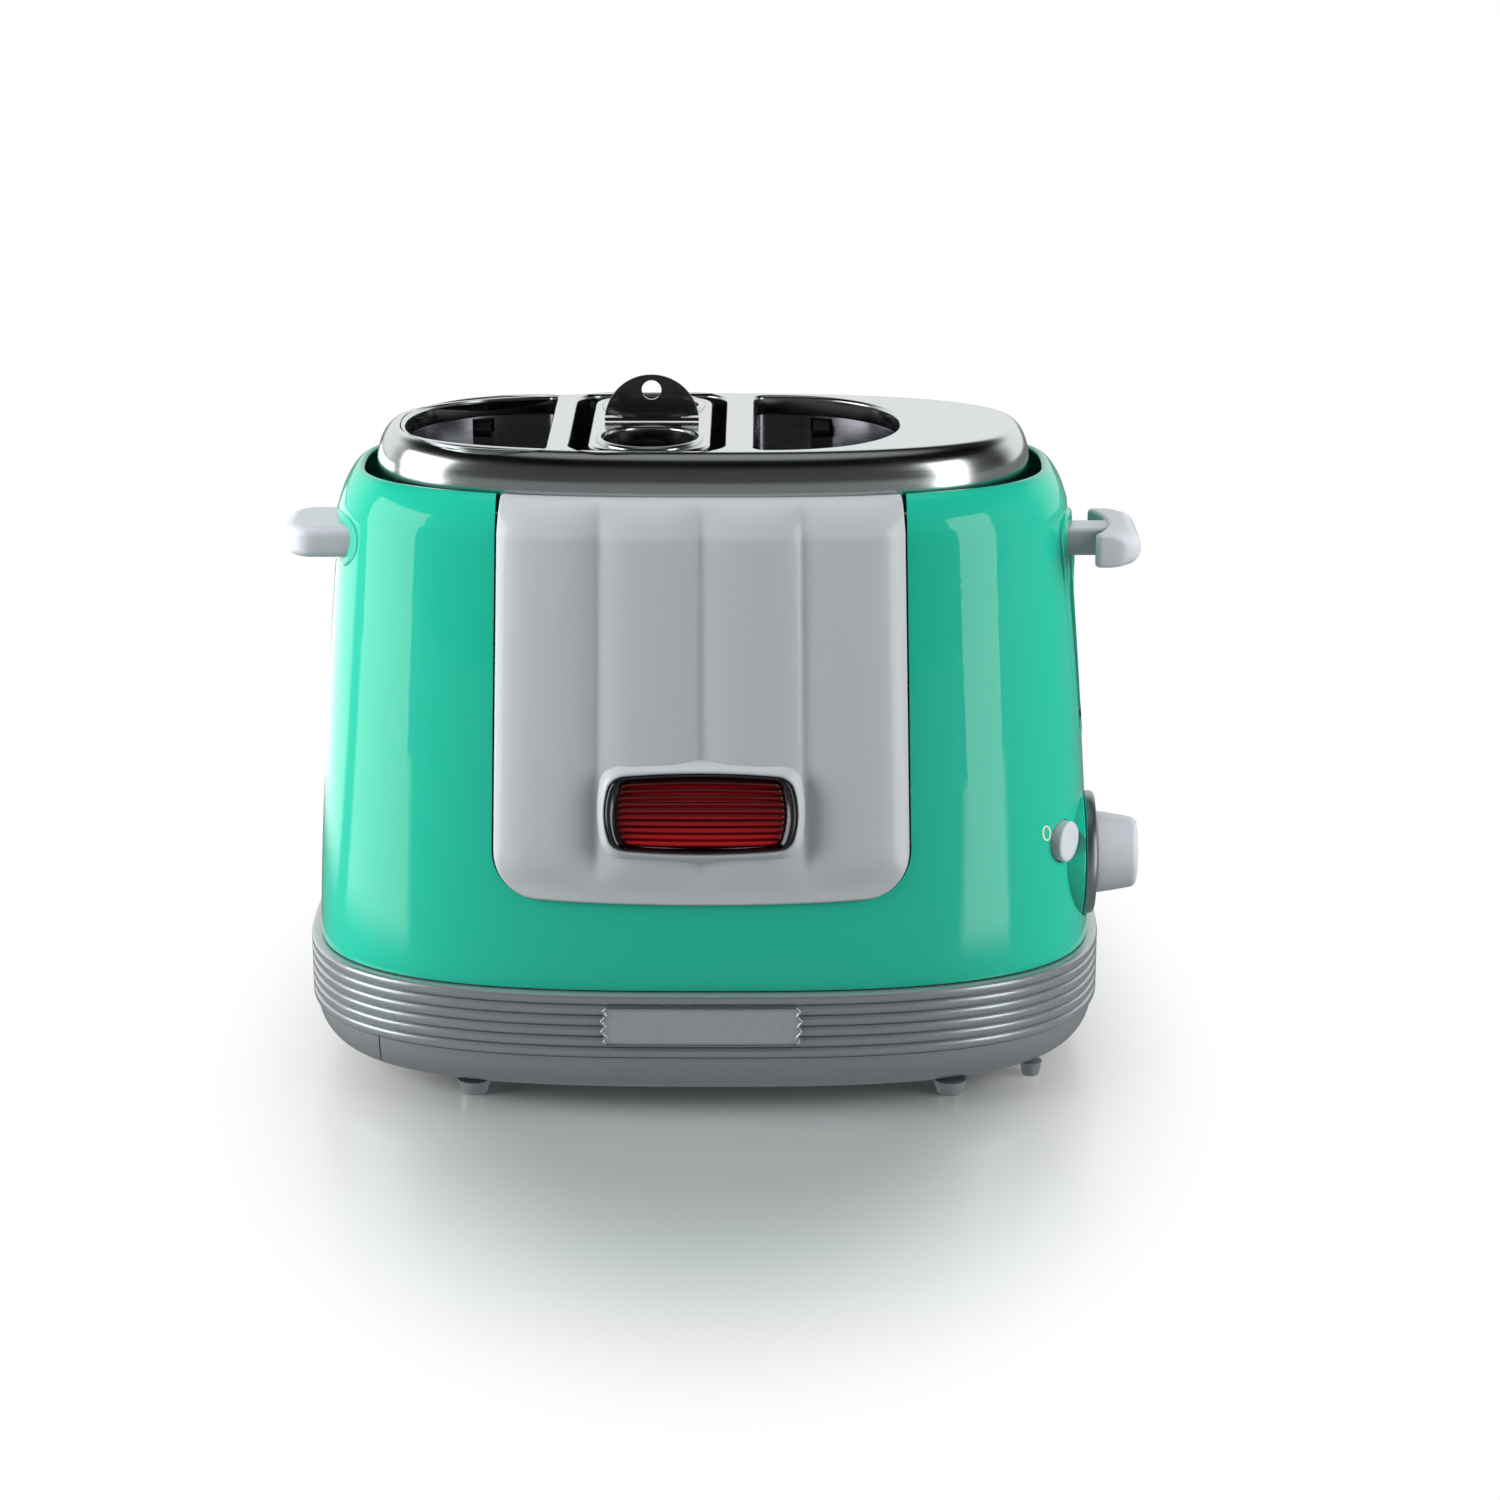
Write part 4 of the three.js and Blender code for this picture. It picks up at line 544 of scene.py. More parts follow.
def panel_half(height, inset=0.0):
    """Half width of the panel with its round lower corners."""
    half = panel_side(height) - inset
    corner = PANEL_CORNER - inset
    rise = height - PANEL_BOTTOM - inset
    if rise < corner:
        half -= corner - sqrt(max(corner ** 2 - (corner - rise) ** 2, 0))
    return half


def panel_sag(x, height):
    """The lower edge hangs down a little in the middle."""
    return 1.1 * max(1 - (x / 50.7) ** 2, 0) * (1 - soft_step((height - PANEL_BOTTOM) / 14))


def soft_step(value):
    value = min(max(value, 0), 1)
    return value * value * (3 - 2 * value)


def panel_cutter(gap):
    """A block with the panel's outline, a gap larger, standing across the front wall."""
    levels = [PANEL_BOTTOM + PANEL_CORNER * (1 - cos(a)) for a in turns(16)] + [110, 140, 170, 195, 230]
    right = [Vector((panel_half(min(h, PANEL_TOP)), h)) for h in levels]
    sag = [Vector((x, PANEL_BOTTOM - panel_sag(x, PANEL_BOTTOM))) for x in [-45 + 7.5 * i for i in range(13)]]
    outline = grown(sag + right + [Vector((-p.x, p.y)) for p in reversed(right)], gap)
    return loft([[Vector((p.x, y, p.y)) for p in outline] for y in (-110, -42)], "cap")


# %% Spin, rounded rectangle and carving


def spun(profile, axis, centre, steps=96, start=None):
    """Spins a profile of (radius, distance along the axis) points once round the axis."""
    axis = Vector(axis).normalized()
    across = Vector(start) if start else axis.orthogonal().normalized()
    bm = bmesh.new()
    chain = [bm.verts.new(Vector(centre) + across * r + axis * along) for r, along in profile]
    for a, b in zip(chain, chain[1:]):
        bm.edges.new((a, b))
    bmesh.ops.spin(bm, geom=bm.verts[:] + bm.edges[:], cent=centre, axis=axis, angle=2 * pi,
                   steps=steps, use_merge=True, use_duplicate=False)
    return bm


def rounded_rectangle(half_x, half_y, corner, steps=10, straight=6):
    """A flat outline with round corners and points along its straight sides, anticlockwise."""
    corners = []
    for k, (sx, sy) in enumerate(((1, 1), (-1, 1), (-1, -1), (1, -1))):
        middle = Vector((sx * (half_x - corner), sy * (half_y - corner)))
        start = pi / 2 * k
        corners.append([middle + corner * Vector((cos(start + a), sin(start + a))) for a in turns(steps)])
    out = []
    for k in range(4):
        out += corners[k]
        a, b = corners[k][-1], corners[(k + 1) % 4][0]
        out += [a.lerp(b, i / straight) for i in range(1, straight)]
    return out


def sideways(outline, y, z, rows):
    """Upright rings of an outline that face along x, one for each row (x, growth)."""
    return [[Vector((x, p.x + y, p.y + z)) for p in grown(outline, out)] for x, out in rows]


def carve(bm, cutter, operation="DIFFERENCE"):
    """Cuts one bmesh with another, or joins them, through a Boolean modifier."""
    made = []
    for part in (bm, cutter):
        bmesh.ops.remove_doubles(part, verts=part.verts, dist=MERGE_WITHIN)
        bmesh.ops.recalc_face_normals(part, faces=part.faces)
        made.append(add_object("part", as_mesh(part, "part")))
    modifier = made[0].modifiers.new("cut", "BOOLEAN")
    modifier.operation, modifier.object, modifier.solver = operation, made[1], "EXACT"
    bpy.context.view_layer.update()
    result = bmesh.new()
    result.from_mesh(made[0].evaluated_get(bpy.context.evaluated_depsgraph_get()).to_mesh())
    for part in made:
        bpy.data.meshes.remove(part.data)
    return result


# %% Cut the shell's openings
KNOB_Y, KNOB_Z, POCKET_FACE = -20.0, 68.8, 122.9
LEVER_Y, SLOT_MIDDLE, GRIP_MIDDLE = -14.0, 144.8, 174.5
knob_middle = Vector((0, KNOB_Y, KNOB_Z))
button_base = Vector((115.2, -41.5, 79.9))
button_axis = Vector((cos(radians(-31)), sin(radians(-31)), 0))
boss = [(0, 104), (21, 104), (21, 122.2), (20.8, 122.7), (20.3, POCKET_FACE), (0, POCKET_FACE)]
pocket = [(0, POCKET_FACE), (20.99, POCKET_FACE), (20.99, 140), (0, 140)]
button_hole = [(0, -14), (6.95, -14), (6.95, 8), (0, 8)]
lever_slot = sideways(rounded_rectangle(6.7, 33.2, 1.2, 4, 2), LEVER_Y, SLOT_MIDDLE, ((60, 0), (140, 0)))
shell = carve(shell, spun(boss, (1, 0, 0), knob_middle, 96), "UNION")
shell = carve(shell, spun(pocket, (1, 0, 0), knob_middle, 96))
shell = carve(shell, loft(lever_slot, "cap"))
shell = carve(shell, spun(button_hole, button_axis, button_base, 64))
shell = carve(shell, panel_cutter(0.28))
put(shell, "enamel_shell", "shell_paint", "outer_shell", sharp=32)

# %% [markdown]
# ## Raised pads on the sides
# Where the lever leaves the shell, the metal is pressed out into a shallow oval pad, and the fixed
# grip on the other side stands on one too. A pad is a soft frame round its opening: its outlines
# are drawn flat, and each point then asks the body where its surface is.

# %% Pads round the lever and the grip


def even_outline(points, count):
    """The same closed outline with its points spread evenly."""
    loop = points + [points[0]]
    return [loop[k].lerp(loop[k + 1], share) for k, share in even_steps(loop, count)]


def even_rectangle(half_x, half_y, corner, count, x=0, y=0, steps=10, straight=6):
    """A rounded rectangle with evenly spread points round a middle."""
    outline = even_outline(rounded_rectangle(half_x, half_y, corner, steps, straight), count)
    return [p + Vector((x, y)) for p in outline]


def side_frame(name, outer, hole, z, side, proud):
    """A frame round a hole on the side of the body, each given as (half depth, half height,
    corner). proud(height) says how far it stands out."""
    rings = []
    for shape, rows in ((outer, ((0, -1.0, 0), (0, 0.03, 0), (-0.35, 0, 0.6), (-0.9, 0, 0.92), (-1.7, 0, 1))),
                        (hole, ((0.7, 0, 1), (0.25, 0, 0.8), (0, 0, 0.3), (0, -1.0, 0)))):
        outline = even_rectangle(*shape, 96)
        for offset, out, share in rows:
            rings.append([side_point(p.x + LEVER_Y, p.y + z, out + share * proud(p.y + z), side)
                          for p in grown(outline, offset)])
    put(loft(rings), name, "shell_paint", sharp=50)


side_frame("lever_pad", (11.5, 37.2, 8.0), (6.9, 33.3, 1.4), SLOT_MIDDLE, 1,
           lambda z: 0.25 + 1.0 * soft_step((z - 154) / 12))
side_frame("grip_pad", (18.6, 8.2, 8.0), (14.9, 4.6, 3.5), GRIP_MIDDLE, -1, lambda z: 0.6)

# %% [markdown]
# ## The front panel
# The cool white panel is pressed into four upright columns with narrow soft valleys between them,
# which fade out at the top and bottom. It is a grid laid over the front of the body. The height of
# each point comes from its distance to the nearest valley, and the border is rolled over so that
# the panel has a real rounded edge.

# %% Sheets with a rolled border


def sheet(columns, rows, spot):
    """A grid whose points are placed by spot(across -1..1, up 0..1)."""
    bm = bmesh.new()
    bmesh.ops.create_grid(bm, x_segments=columns, y_segments=rows, size=1)
    for v in bm.verts:
        v.co = spot(v.co.x, (v.co.y + 1) / 2)
    return bm


def roll_border(bm, radius, depth, steps=4):
    """Extrudes the border outwards and down in a quarter round, then down to the depth, and
    closes the back with a copy of the sheet."""
    bm.normal_update()
    turn = bm.verts.layers.int.new("turn")
    base, edges = [], [e for e in bm.edges if e.is_boundary]
    for v in {v for e in edges for v in e.verts}:
        ends = [e.other_vert(v).co for e in v.link_edges if e.is_boundary]
        inner = sum((f.calc_center_median() for f in v.link_faces), Vector()) / len(v.link_faces)
        side = (ends[1] - ends[0]).cross(v.normal).normalized()
        if side.dot(v.co - inner) < 0:
            side.negate()
        v[turn] = len(base)
        base.append((v.co.copy(), side, v.normal.copy()))
    copied = bmesh.ops.duplicate(bm, geom=bm.verts[:] + bm.edges[:] + bm.faces[:])["geom"]
    under = [(v, v.normal.copy()) for v in among(copied, bmesh.types.BMVert)]
    for v, normal in under:
        v.co -= normal * depth
    for step in range(1, steps + 2):
        angle = pi / 2 * min(step / steps, 1)
        drop = depth if step > steps else radius * (1 - cos(angle))

        def spot(i):
            at, side, normal = base[i]
            return at + side * radius * sin(angle) - normal * drop
        edges = next_ring(bm, edges, turn, spot)
    bmesh.ops.bridge_loops(bm, edges=[e for e in bm.edges if e.is_boundary])
    return bm


# %% Press the panel's columns
PANEL_EDGE = 0.8


def column_rise(x, half, height):
    """How far the panel stands out at a place: columns in the middle, a low even bow at the ends."""
    wide = half / 2
    inside = (x + half) % wide if abs(x) < half else 0
    gap = min(inside, wide - inside)
    soft = sqrt(gap ** 2 + 0.4 ** 2) - 0.4
    crest = 1 - (1 - min(soft / (wide / 2), 1)) ** 3.0
    deep = soft_step((height - PANEL_BOTTOM - 4) / 12) * soft_step((PANEL_TOP - height + 3) / 10)
    full = 0.45 + 0.5 * soft_step((height - PANEL_BOTTOM - 2) / 14)
    bow = full * (1 - (abs(x) / half) ** 8)
    return 0.35 + 2.4 * (deep * crest + (1 - deep) * bow)


low_row = PANEL_BOTTOM + PANEL_EDGE
panel_levels = [(0, low_row + (PANEL_CORNER - PANEL_EDGE) * (1 - cos(a))) for a in turns(16)]
panel_levels += [(0, 86 + (ROLL_START - 86) * i / 84) for i in range(1, 84)]
panel_levels += [(-p[0], p[1]) for p in rim_curve] + [(7.5, 193.9), (7.3, 192.8)]


def panel_spot(across, up):
    place_on = up * (len(panel_levels) - 1)
    k = min(int(place_on + 1e-6), len(panel_levels) - 2)
    drawn_in, height = Vector(panel_levels[k]).lerp(Vector(panel_levels[k + 1]), place_on - k)
    x = across * panel_half(min(height, PANEL_TOP), PANEL_EDGE)
    out = column_rise(x, panel_side(min(height, PANEL_TOP)), height) * (1 - drawn_in / 7.5)
    return front_point(x, height - panel_sag(x, height), out - drawn_in)


panel = roll_border(sheet(150, len(panel_levels) - 1, panel_spot), PANEL_EDGE, 2.6)
put(panel, "column_panel", "panel_gloss", "front_panel", sharp=50)

# %% [markdown]
# ## The badge
# A white moulding stands up from the panel and holds a dark chrome frame with a ribbed red lens.
# Its outline is a rectangle whose sides bow out, like a small television screen. The pieces
# are drawn flat and then leaned back to lie on the front.

# %% Outlines and the leaning plane of the badge


def barrel(half, half_height, corner=3.6, bow=1.7, count=160):
    """A rectangle with round corners whose sides bow outwards, as wide and high as given."""
    rise = bow * 0.55
    points = []
    for p in even_outline(rounded_rectangle(half - bow, half_height - rise, corner, 10, 16), count):
        across, up = p.x / (half - bow), p.y / (half_height - rise)
        points.append(Vector((p.x + bow * across * (1 - up ** 2), p.y + rise * up * (1 - across ** 2))))
    return points


BADGE_HEIGHT = 99.5
badge_lean = (body_outline(BADGE_HEIGHT - 1)[1] - body_outline(BADGE_HEIGHT + 1)[1]) / 2
badge_out = Vector((0, -1, badge_lean)).normalized()
badge_up = Vector((0, badge_lean, 1)).normalized()
badge_middle = front_point(0, BADGE_HEIGHT)


def on_badge(point, out):
    return badge_middle + Vector((point.x, 0, 0)) + badge_up * point.y + badge_out * out


def badge_rings(outer, inner, profile):
    """Rings between two outlines: each profile entry is a share from outer to inner and a height."""
    return [[on_badge(a.lerp(b, share), out) for a, b in zip(outer, inner)] for share, out in profile]


# %% Moulding, frame and lens
moulding = badge_rings(barrel(31.6, 15.3, 5.0, 2.4), barrel(29.95, 12.75, 3.1, 2.5), [
    (-0.5, 0.6), (-0.25, 1.6), (0, 2.5), (0.25, 3.4), (0.5, 4.1), (0.72, 4.45), (0.9, 4.4), (1, 4.0),
    (1, 0.2), (-0.5, 0.2)])
put(loft(moulding), "badge_moulding", "panel_gloss", sharp=60)
frame_rings = badge_rings(barrel(29.8, 12.6, 3.0, 2.5), barrel(26.5, 11.4, 2.4, 2.1), [
    (0, 2.1), (0, 4.3), (0.08, 4.8), (0.22, 5.15), (0.38, 5.2), (0.55, 5.0), (0.85, 4.2), (1, 3.7), (1, 2.1)])
put(loft(frame_rings), "badge_chrome", "dark_chrome", "badge_frame", sharp=60)


LENS_HALF, LENS_BOW, LENS_TALL, LENS_CORNER = 24.4, 2.0, 10.0, 2.6


def lens_spot(across, up):
    y = (up * 2 - 1) * LENS_TALL
    half = LENS_HALF + LENS_BOW * (1 - (y / LENS_TALL) ** 2)
    short = max(abs(y) - (LENS_TALL - LENS_CORNER), 0)
    half -= LENS_CORNER - sqrt(max(LENS_CORNER ** 2 - short ** 2, 0))
    x = across * half
    rib = 0.5 - 0.5 * cos(2 * pi * LENS_RIBS * up)
    fade = soft_step((1 - abs(across)) * half / 1.2)
    bowed = y + 1.1 * (y / LENS_TALL) * (1 - (x / 27) ** 2)
    return on_badge(Vector((x, bowed)), 2.75 + 0.8 * rib ** 0.6 * fade)


lens = roll_border(sheet(56, 120, lens_spot), 0.3, 0.8, 2)
put(lens, "badge_glass", "red_lens", "badge_lens", sharp=70)

# %% [markdown]
# ## The silver base
# Under the shell runs a band of six round ribs, and under that a shallow bowl. The left end of the
# bowl belongs to the crumb tray, which pulls out to the left. The band is a loft with twelve rings
# to a rib. Both parts of the bowl are cut from the same loft by a plane, so they share one surface.

# %% Ribbed band
BAND_BOTTOM, RIB_PITCH, RIBS, RIB_RINGS = 19.9, 3.55, 6, 12
band_rows = [(-4, BAND_BOTTOM), (1.5, BAND_BOTTOM)]
for rib in range(RIBS):
    for k in range(1, RIB_RINGS):
        t = k / RIB_RINGS
        rise = (1 - abs(2 * t - 1) ** 3.2) ** 0.5
        band_rows.append((1.75 + 1.45 * rise, BAND_BOTTOM + RIB_PITCH * (rib + t)))
    band_rows.append((1.55, BAND_BOTTOM + RIB_PITCH * (rib + 1)))
band_rows += [(0.6, 41.2), (-4, 41.2)]
base_outline = body_outline(SHELL_BOTTOM)
band = loft(outline_rings(base_outline, body_angles, band_rows))
put(band, "ribbed_band", "silver_paint", "base_band", sharp=50)

# %% Bowl, cut into pan and crumb tray end
TRAY_CUT = -103.6


def whole_bowl():
    """The bowl as one shell: along its bottom, up its outside, over the edge and down its inside."""
    rows = [(-40, 5), (-26, 5), (-14.2, 5)]
    rows += [(1.8 - 15 * (1 - sin(a)), 5 + 14.6 * (1 - cos(a))) for a in turns(16)]
    rows += [(1.5, 19.7), (-0.3, 19.7), (-0.6, 19.4)]
    rows += [(-0.6 - 12.6 * (1 - sin(a)), 7.4 + 12 * (1 - cos(a))) for a in turns(8)[-2::-1]]
    rows += [(-14.2, 7.4), (-26, 7.4), (-40, 7.4)]
    return loft(outline_rings(base_outline, body_angles, rows), "cap")


def half_bowl(cut, keep):
    """The bowl on one side of an upright plane, with the cut closed."""
    bm = whole_bowl()
    bmesh.ops.remove_doubles(bm, verts=bm.verts, dist=MERGE_WITHIN)
    done = bmesh.ops.bisect_plane(bm, geom=bm.verts[:] + bm.edges[:] + bm.faces[:], plane_co=(cut, 0, 0),
                                  plane_no=(keep, 0, 0), clear_inner=True)
    cut_edges = among(done["geom_cut"], bmesh.types.BMEdge)
    bmesh.ops.triangle_fill(bm, use_beauty=True, use_dissolve=False, edges=cut_edges)
    return bm


put(half_bowl(TRAY_CUT + 0.2, 1), "base_bowl", "silver_paint", "base_pan")
put(half_bowl(TRAY_CUT - 0.2, -1), "tray_end", "silver_paint", "crumb_tray", body="crumb_drawer")

# %% Crumb tray behind its end


def flat(point, level):
    """The usual place of an outline's point: x and y as drawn, z at the level."""
    return Vector((point.x, point.y, level))


def stepped(outline, rows):
    """Level rings of an outline, one for each row (growth, height)."""
    return [[flat(p, z) for p in grown(outline, out)] for out, z in rows]


tray_rings = stepped(even_rectangle(83.4, 37.8, 3, 96, -21.5), (
    (-2.2, 7.8), (-0.8, 7.8), (0.0, 14.6), (-0.3, 14.9), (-0.8, 14.7), (-0.8, 8.6), (-1.2, 8.5), (-2.2, 8.5)))
put(loft(tray_rings, "cap"), "tray_pan", "sheet_steel", body="crumb_drawer", sharp=50)

# %% [markdown]
# ## The name plate
# A small plate sits over the middle of the ribs, with a thin raised border and ends that wave with
# the ribs behind them. It is a grid bent round the band, with its border rolled over as the panel's.

# %% Name plate
PLATE_MIDDLE, PLATE_HALF, PLATE_TALL = 30.85, 30.2, 6.5


def plate_half(z):
    up = (z - PLATE_MIDDLE) / PLATE_TALL
    wave = cos(2 * pi * (z - BAND_BOTTOM - RIB_PITCH / 2) / RIB_PITCH)
    return PLATE_HALF + 1.1 * (1 - up ** 2) + 0.55 * wave


def plate_spot(across, up):
    z = PLATE_MIDDLE + (2 * up - 1) * PLATE_TALL
    half = plate_half(z)
    x = across * half
    edge = min((1 - abs(across)) * half, PLATE_TALL - abs(z - PLATE_MIDDLE))
    border = soft_step(edge / 0.25) * (1 - soft_step((edge - 0.65) / 0.35))
    return on_band(x, z, 3.3 + 0.4 * border)


def on_band(x, z, out):
    """A point over the ribs: the body's lower outline moved out, and up to its height."""
    return front_point(x, SHELL_BOTTOM, out) + Vector((0, 0, z - SHELL_BOTTOM))


plate = roll_border(sheet(240, 72, plate_spot), 0.2, 1.6, 3)
put(plate, "bare_plate", "silver_paint", "name_plate", sharp=60, special=plate_silver)
plate_side = [PLATE_MIDDLE + PLATE_TALL * (i / 24 - 1) for i in range(49)]
plate_edge = [Vector((plate_half(z), z)) for z in plate_side]
plate_edge = even_outline(plate_edge + [Vector((-p.x, p.y)) for p in reversed(plate_edge)], 420)
border_rows = ((0.05, 2.9), (0.05, 3.58), (-0.1, 3.77), (-0.4, 3.83), (-0.7, 3.72), (-0.8, 3.2), (-0.8, 2.9))
border = [[on_band(p.x, p.y, out) for p in grown(plate_edge, offset)] for offset, out in border_rows]
put(loft(border), "plate_border", "polished_steel", sharp=60)

# %% [markdown]
# ## The steel lid
# The lid is a polished pan turned upside down, with two D-shaped bun slots and a rounded well for
# the sausage cage. Mirror-like metal shows every flaw in the shading, so each flat area ends in a
# narrow strip of its own before the rounding starts: the strip takes the change of shading and the
# flat stays flat.

# %% Outlines of the openings
LID_TOP = 207.4


def slot_outline(flat_x, side):
    """A D: straight towards the middle, a bulging curve outwards, with small round corners."""
    power, corner, tall = 2 / 2.2, 4, 35
    points = []
    for a in turns(96, 0, pi):
        c, s = cos(a - pi / 2), sin(a - pi / 2)
        bulge = corner + 42.4 * abs(c) ** power
        points.append(Vector((flat_x + side * bulge, 39 * copysign(abs(s) ** power, s))))
    points += [Vector((flat_x + side * corner * (1 - sin(a)), tall + corner * cos(a))) for a in turns(8, 1)]
    points += [Vector((flat_x, tall - 2 * tall * i / 24)) for i in range(1, 24)]
    points += [Vector((flat_x + side * corner * (1 - cos(a)), -tall - corner * sin(a)))
               for a in turns(8)[:-1]]
    if side < 0:
        points.reverse()
    return even_outline(points, 160)


LEFT_FLAT, RIGHT_FLAT = -48.7, 16.3
lid_openings = [slot_outline(LEFT_FLAT, -1), slot_outline(RIGHT_FLAT, 1),
                even_rectangle(24.4, 42, 11, 144, -17.2)]
lid_outline = (104.8, 49.0, 2.6)
lid_angles = even_angles(RING_POINTS, lid_outline)

# %% Sheets with holes


def take_in(whole, part):
    mesh = as_mesh(part, "part")
    whole.from_mesh(mesh)
    bpy.data.meshes.remove(mesh)


def add_loft(bm, rings):
    """Adds an open loft to a bmesh, and returns its first and last loops of edges."""
    before = len(bm.edges)
    take_in(bm, loft(rings, "open"))
    bm.edges.ensure_lookup_table()
    loops = ([], [])
    for edge in bm.edges[before:]:
        if edge.is_boundary:
            at = edge.verts[0].co
            loops[min((at - p).length_squared for p in rings[0]) > 1e-6].append(edge)
    return loops


def pierced(borders):
    """A sheet with holes. Each border is a list of rings that run from the top face round an edge
    to the under face, and both faces are filled between the borders."""
    bm = bmesh.new()
    faces = ([], [])
    for rings in borders:
        for face, loop in zip(faces, add_loft(bm, rings)):
            face += loop
    for edges, way in zip(faces, (1, -1)):
        bmesh.ops.triangle_fill(bm, use_beauty=True, use_dissolve=False, edges=edges, normal=(0, 0, way))
    return bm


# %% Lid with rolled edges
outer_rows = [(-7.9, LID_TOP), (-7.6, LID_TOP)]
outer_rows += [(-7.2 + 6.6 * cos(a), 196.6 + 10.8 * sin(a)) for a in reversed(turns(18))]
outer_rows += [(-0.35, 193), (-0.1, 190.5), (0.05, 189.4), (0.5, 188.5), (1.3, 188.2), (4.4, 188.2),
               (4.8, 187.9), (4.8, 187.3), (4.4, 187), (0.6, 187), (-1.0, 188.0), (-1.4, 190),
               (-2.0, 196.4), (-3.4, 200.6), (-5.6, 204), (-7.8, 206.2)]
LIP = 1.15
lip = [(1.5, LID_TOP), (LIP, LID_TOP)]
lip += [(LIP * (1 - sin(a)), LID_TOP - LIP * (1 - cos(a))) for a in turns(6, 1)]
lip += [(0, 201.6), (0.2, 201.3), (0.8, 201.3), (1.0, 201.6), (1.0, 205.2), (1.6, 206.2)]
lid = pierced([outline_rings(lid_outline, lid_angles, outer_rows)]
              + [stepped(opening, lip) for opening in lid_openings])
put(lid, "steel_lid", "polished_steel", "top_lid", sharp=45)

# %% [markdown]
# ## Liners of the bun slots
# A bent sheet liner hangs under each bun slot. Its outline is the slot's outline a little larger, so
# it is the same loft once more. Windows towards the heaters, a slit for the lift arm and a small
# hole for the bun clip are cut out with blocks.

# %% Bent liners and bun clips


def block(x, y, z):
    """A cutting block between pairs of limits."""
    corners = [Vector((x[0], y[0])), Vector((x[1], y[0])), Vector((x[1], y[1])), Vector((x[0], y[1]))]
    return loft([[flat(p, level) for p in corners] for level in z], "cap")


clip_side = [(1.2, 5.5), (-0.6, 5.5), (-2.2, 4.6), (-2.8, 2.4), (-2.3, 0.4), (-1.3, 0), (-1.5, 2.0),
             (-0.8, 3.4), (1.2, 4.0)]
liner_rows = ((0.3, 41.95), (0.45, 41.8), (1.15, 41.8), (1.3, 41.95),
              (1.3, 200.9), (1.15, 201.1), (0.45, 201.1), (0.3, 200.9))
for name, flat_x, side, arm_x in (("left", LEFT_FLAT, -1, -71.9), ("right", RIGHT_FLAT, 1, 39.5)):
    liner = loft(stepped(slot_outline(flat_x, side), liner_rows))
    for window in ((sorted((flat_x - side * 3, flat_x + side * 4)), (-32, 32), (40, 203)),
                   (sorted((flat_x + side * 25.4, flat_x + side * 49)), (-19, 19), (63.8, 177.9)),
                   ((arm_x - 3.7, arm_x + 3.7), (20, 42), (40, 106.4)),
                   ((arm_x - 4.6, arm_x + 2.2), (20, 42), (195.7, 200.1))):
        liner = carve(liner, block(*window))
    put(liner, name + "_bent_liner", "sheet_steel", "bun_liner_" + name)
    clip_ends = [[Vector((x, 36.0 + y, 194.2 + z)) for y, z in clip_side] for x in (arm_x - 3.9, arm_x + 1.5)]
    put(loft(clip_ends, "cap"), name + "_bun_clip", "black_steel")

# %% [markdown]
# ## The sausage cage
# Two sausages stand in a cage that lifts out by a black handle. Its top is a plate with two round
# mouths whose edges are rolled into a bead. Flat bars run down from it to a small floor, and thin
# hoops keep each sausage in its place. The floor and the handle are pillows: an outline lofted
# between two levels, with quarter-round edges.

# %% Cage plate with rolled mouths


def arc(x, y, radius, start, span, steps=12):
    return [Vector((x + radius * cos(start + a), y + radius * sin(start + a)))
            for a in turns(steps, 0, span)]


def circle(x, y, radius, count=96):
    return arc(x, y, radius, 0, 2 * pi, count)[:-1]


CAGE_X, CAGE_TOP, MOUTH_Y = -16.5, 207.1, 24
CAGE_BOTTOM = (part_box("sausage_cage")[0].z - body_middle.z) / MM
EDGE = 1.1
cage_edge = [(-1.5, CAGE_TOP), (-EDGE, CAGE_TOP)]
cage_edge += [(-EDGE + EDGE * sin(a), CAGE_TOP - EDGE + EDGE * cos(a)) for a in turns(5, 1)]
cage_edge += [(0, 203.2), (-0.3, 202.9), (-0.9, 202.9), (-1.1, 203.2), (-1.1, 205.2), (-1.6, 205.9)]
bead = [(2.9, CAGE_TOP), (2.5, CAGE_TOP)]
bead += [(1.25 + 1.25 * cos(a), CAGE_TOP + 1.15 * sin(a)) for a in turns(12, 1, pi)]
bead += [(0, 203.0), (0.3, 202.4), (0.9, 202.4), (1.2, 203.0), (1.2, 205.4), (1.8, 205.9)]
cage = pierced([stepped(even_rectangle(19.2, 39, 10, 144, CAGE_X), cage_edge)]
               + [stepped(circle(CAGE_X, y, 14.4), bead) for y in (-MOUTH_Y, MOUTH_Y)])
put(cage, "cage_top", "polished_steel", "sausage_cage", body="cage", sharp=45)

# %% Pillows and tubes


def joined(parts):
    """Several bmeshes in one."""
    whole = bmesh.new()
    for part in parts:
        take_in(whole, part)
    return whole


def whole_turn(count):
    """Even angles once round."""
    return turns(count, 0, 2 * pi)[:-1]


def pillow(outline, low, high, edge, where, steps=6):
    """A slab between two levels with quarter-round edges. The edge is one radius, or one for each
    point of the outline. where(point, level) places a point."""
    edges = edge if isinstance(edge, list) else [edge] * len(outline)
    strip = 0.35  # one ring more inside the rounding keeps the flat face flat
    rings = []
    for level, side in ((low, 1), (high, -1)):
        part = []
        for i in range(-1, steps + 1):
            a = pi / 2 * max(i, 0) / steps
            moved = grown_by(outline, [-e * (1 - sin(a)) - (strip if i < 0 else 0) for e in edges])
            part.append([where(p, level + side * e * (1 - cos(a))) for p, e in zip(moved, edges)])
        rings += part if side == 1 else part[::-1]
    return loft(rings, "cap")


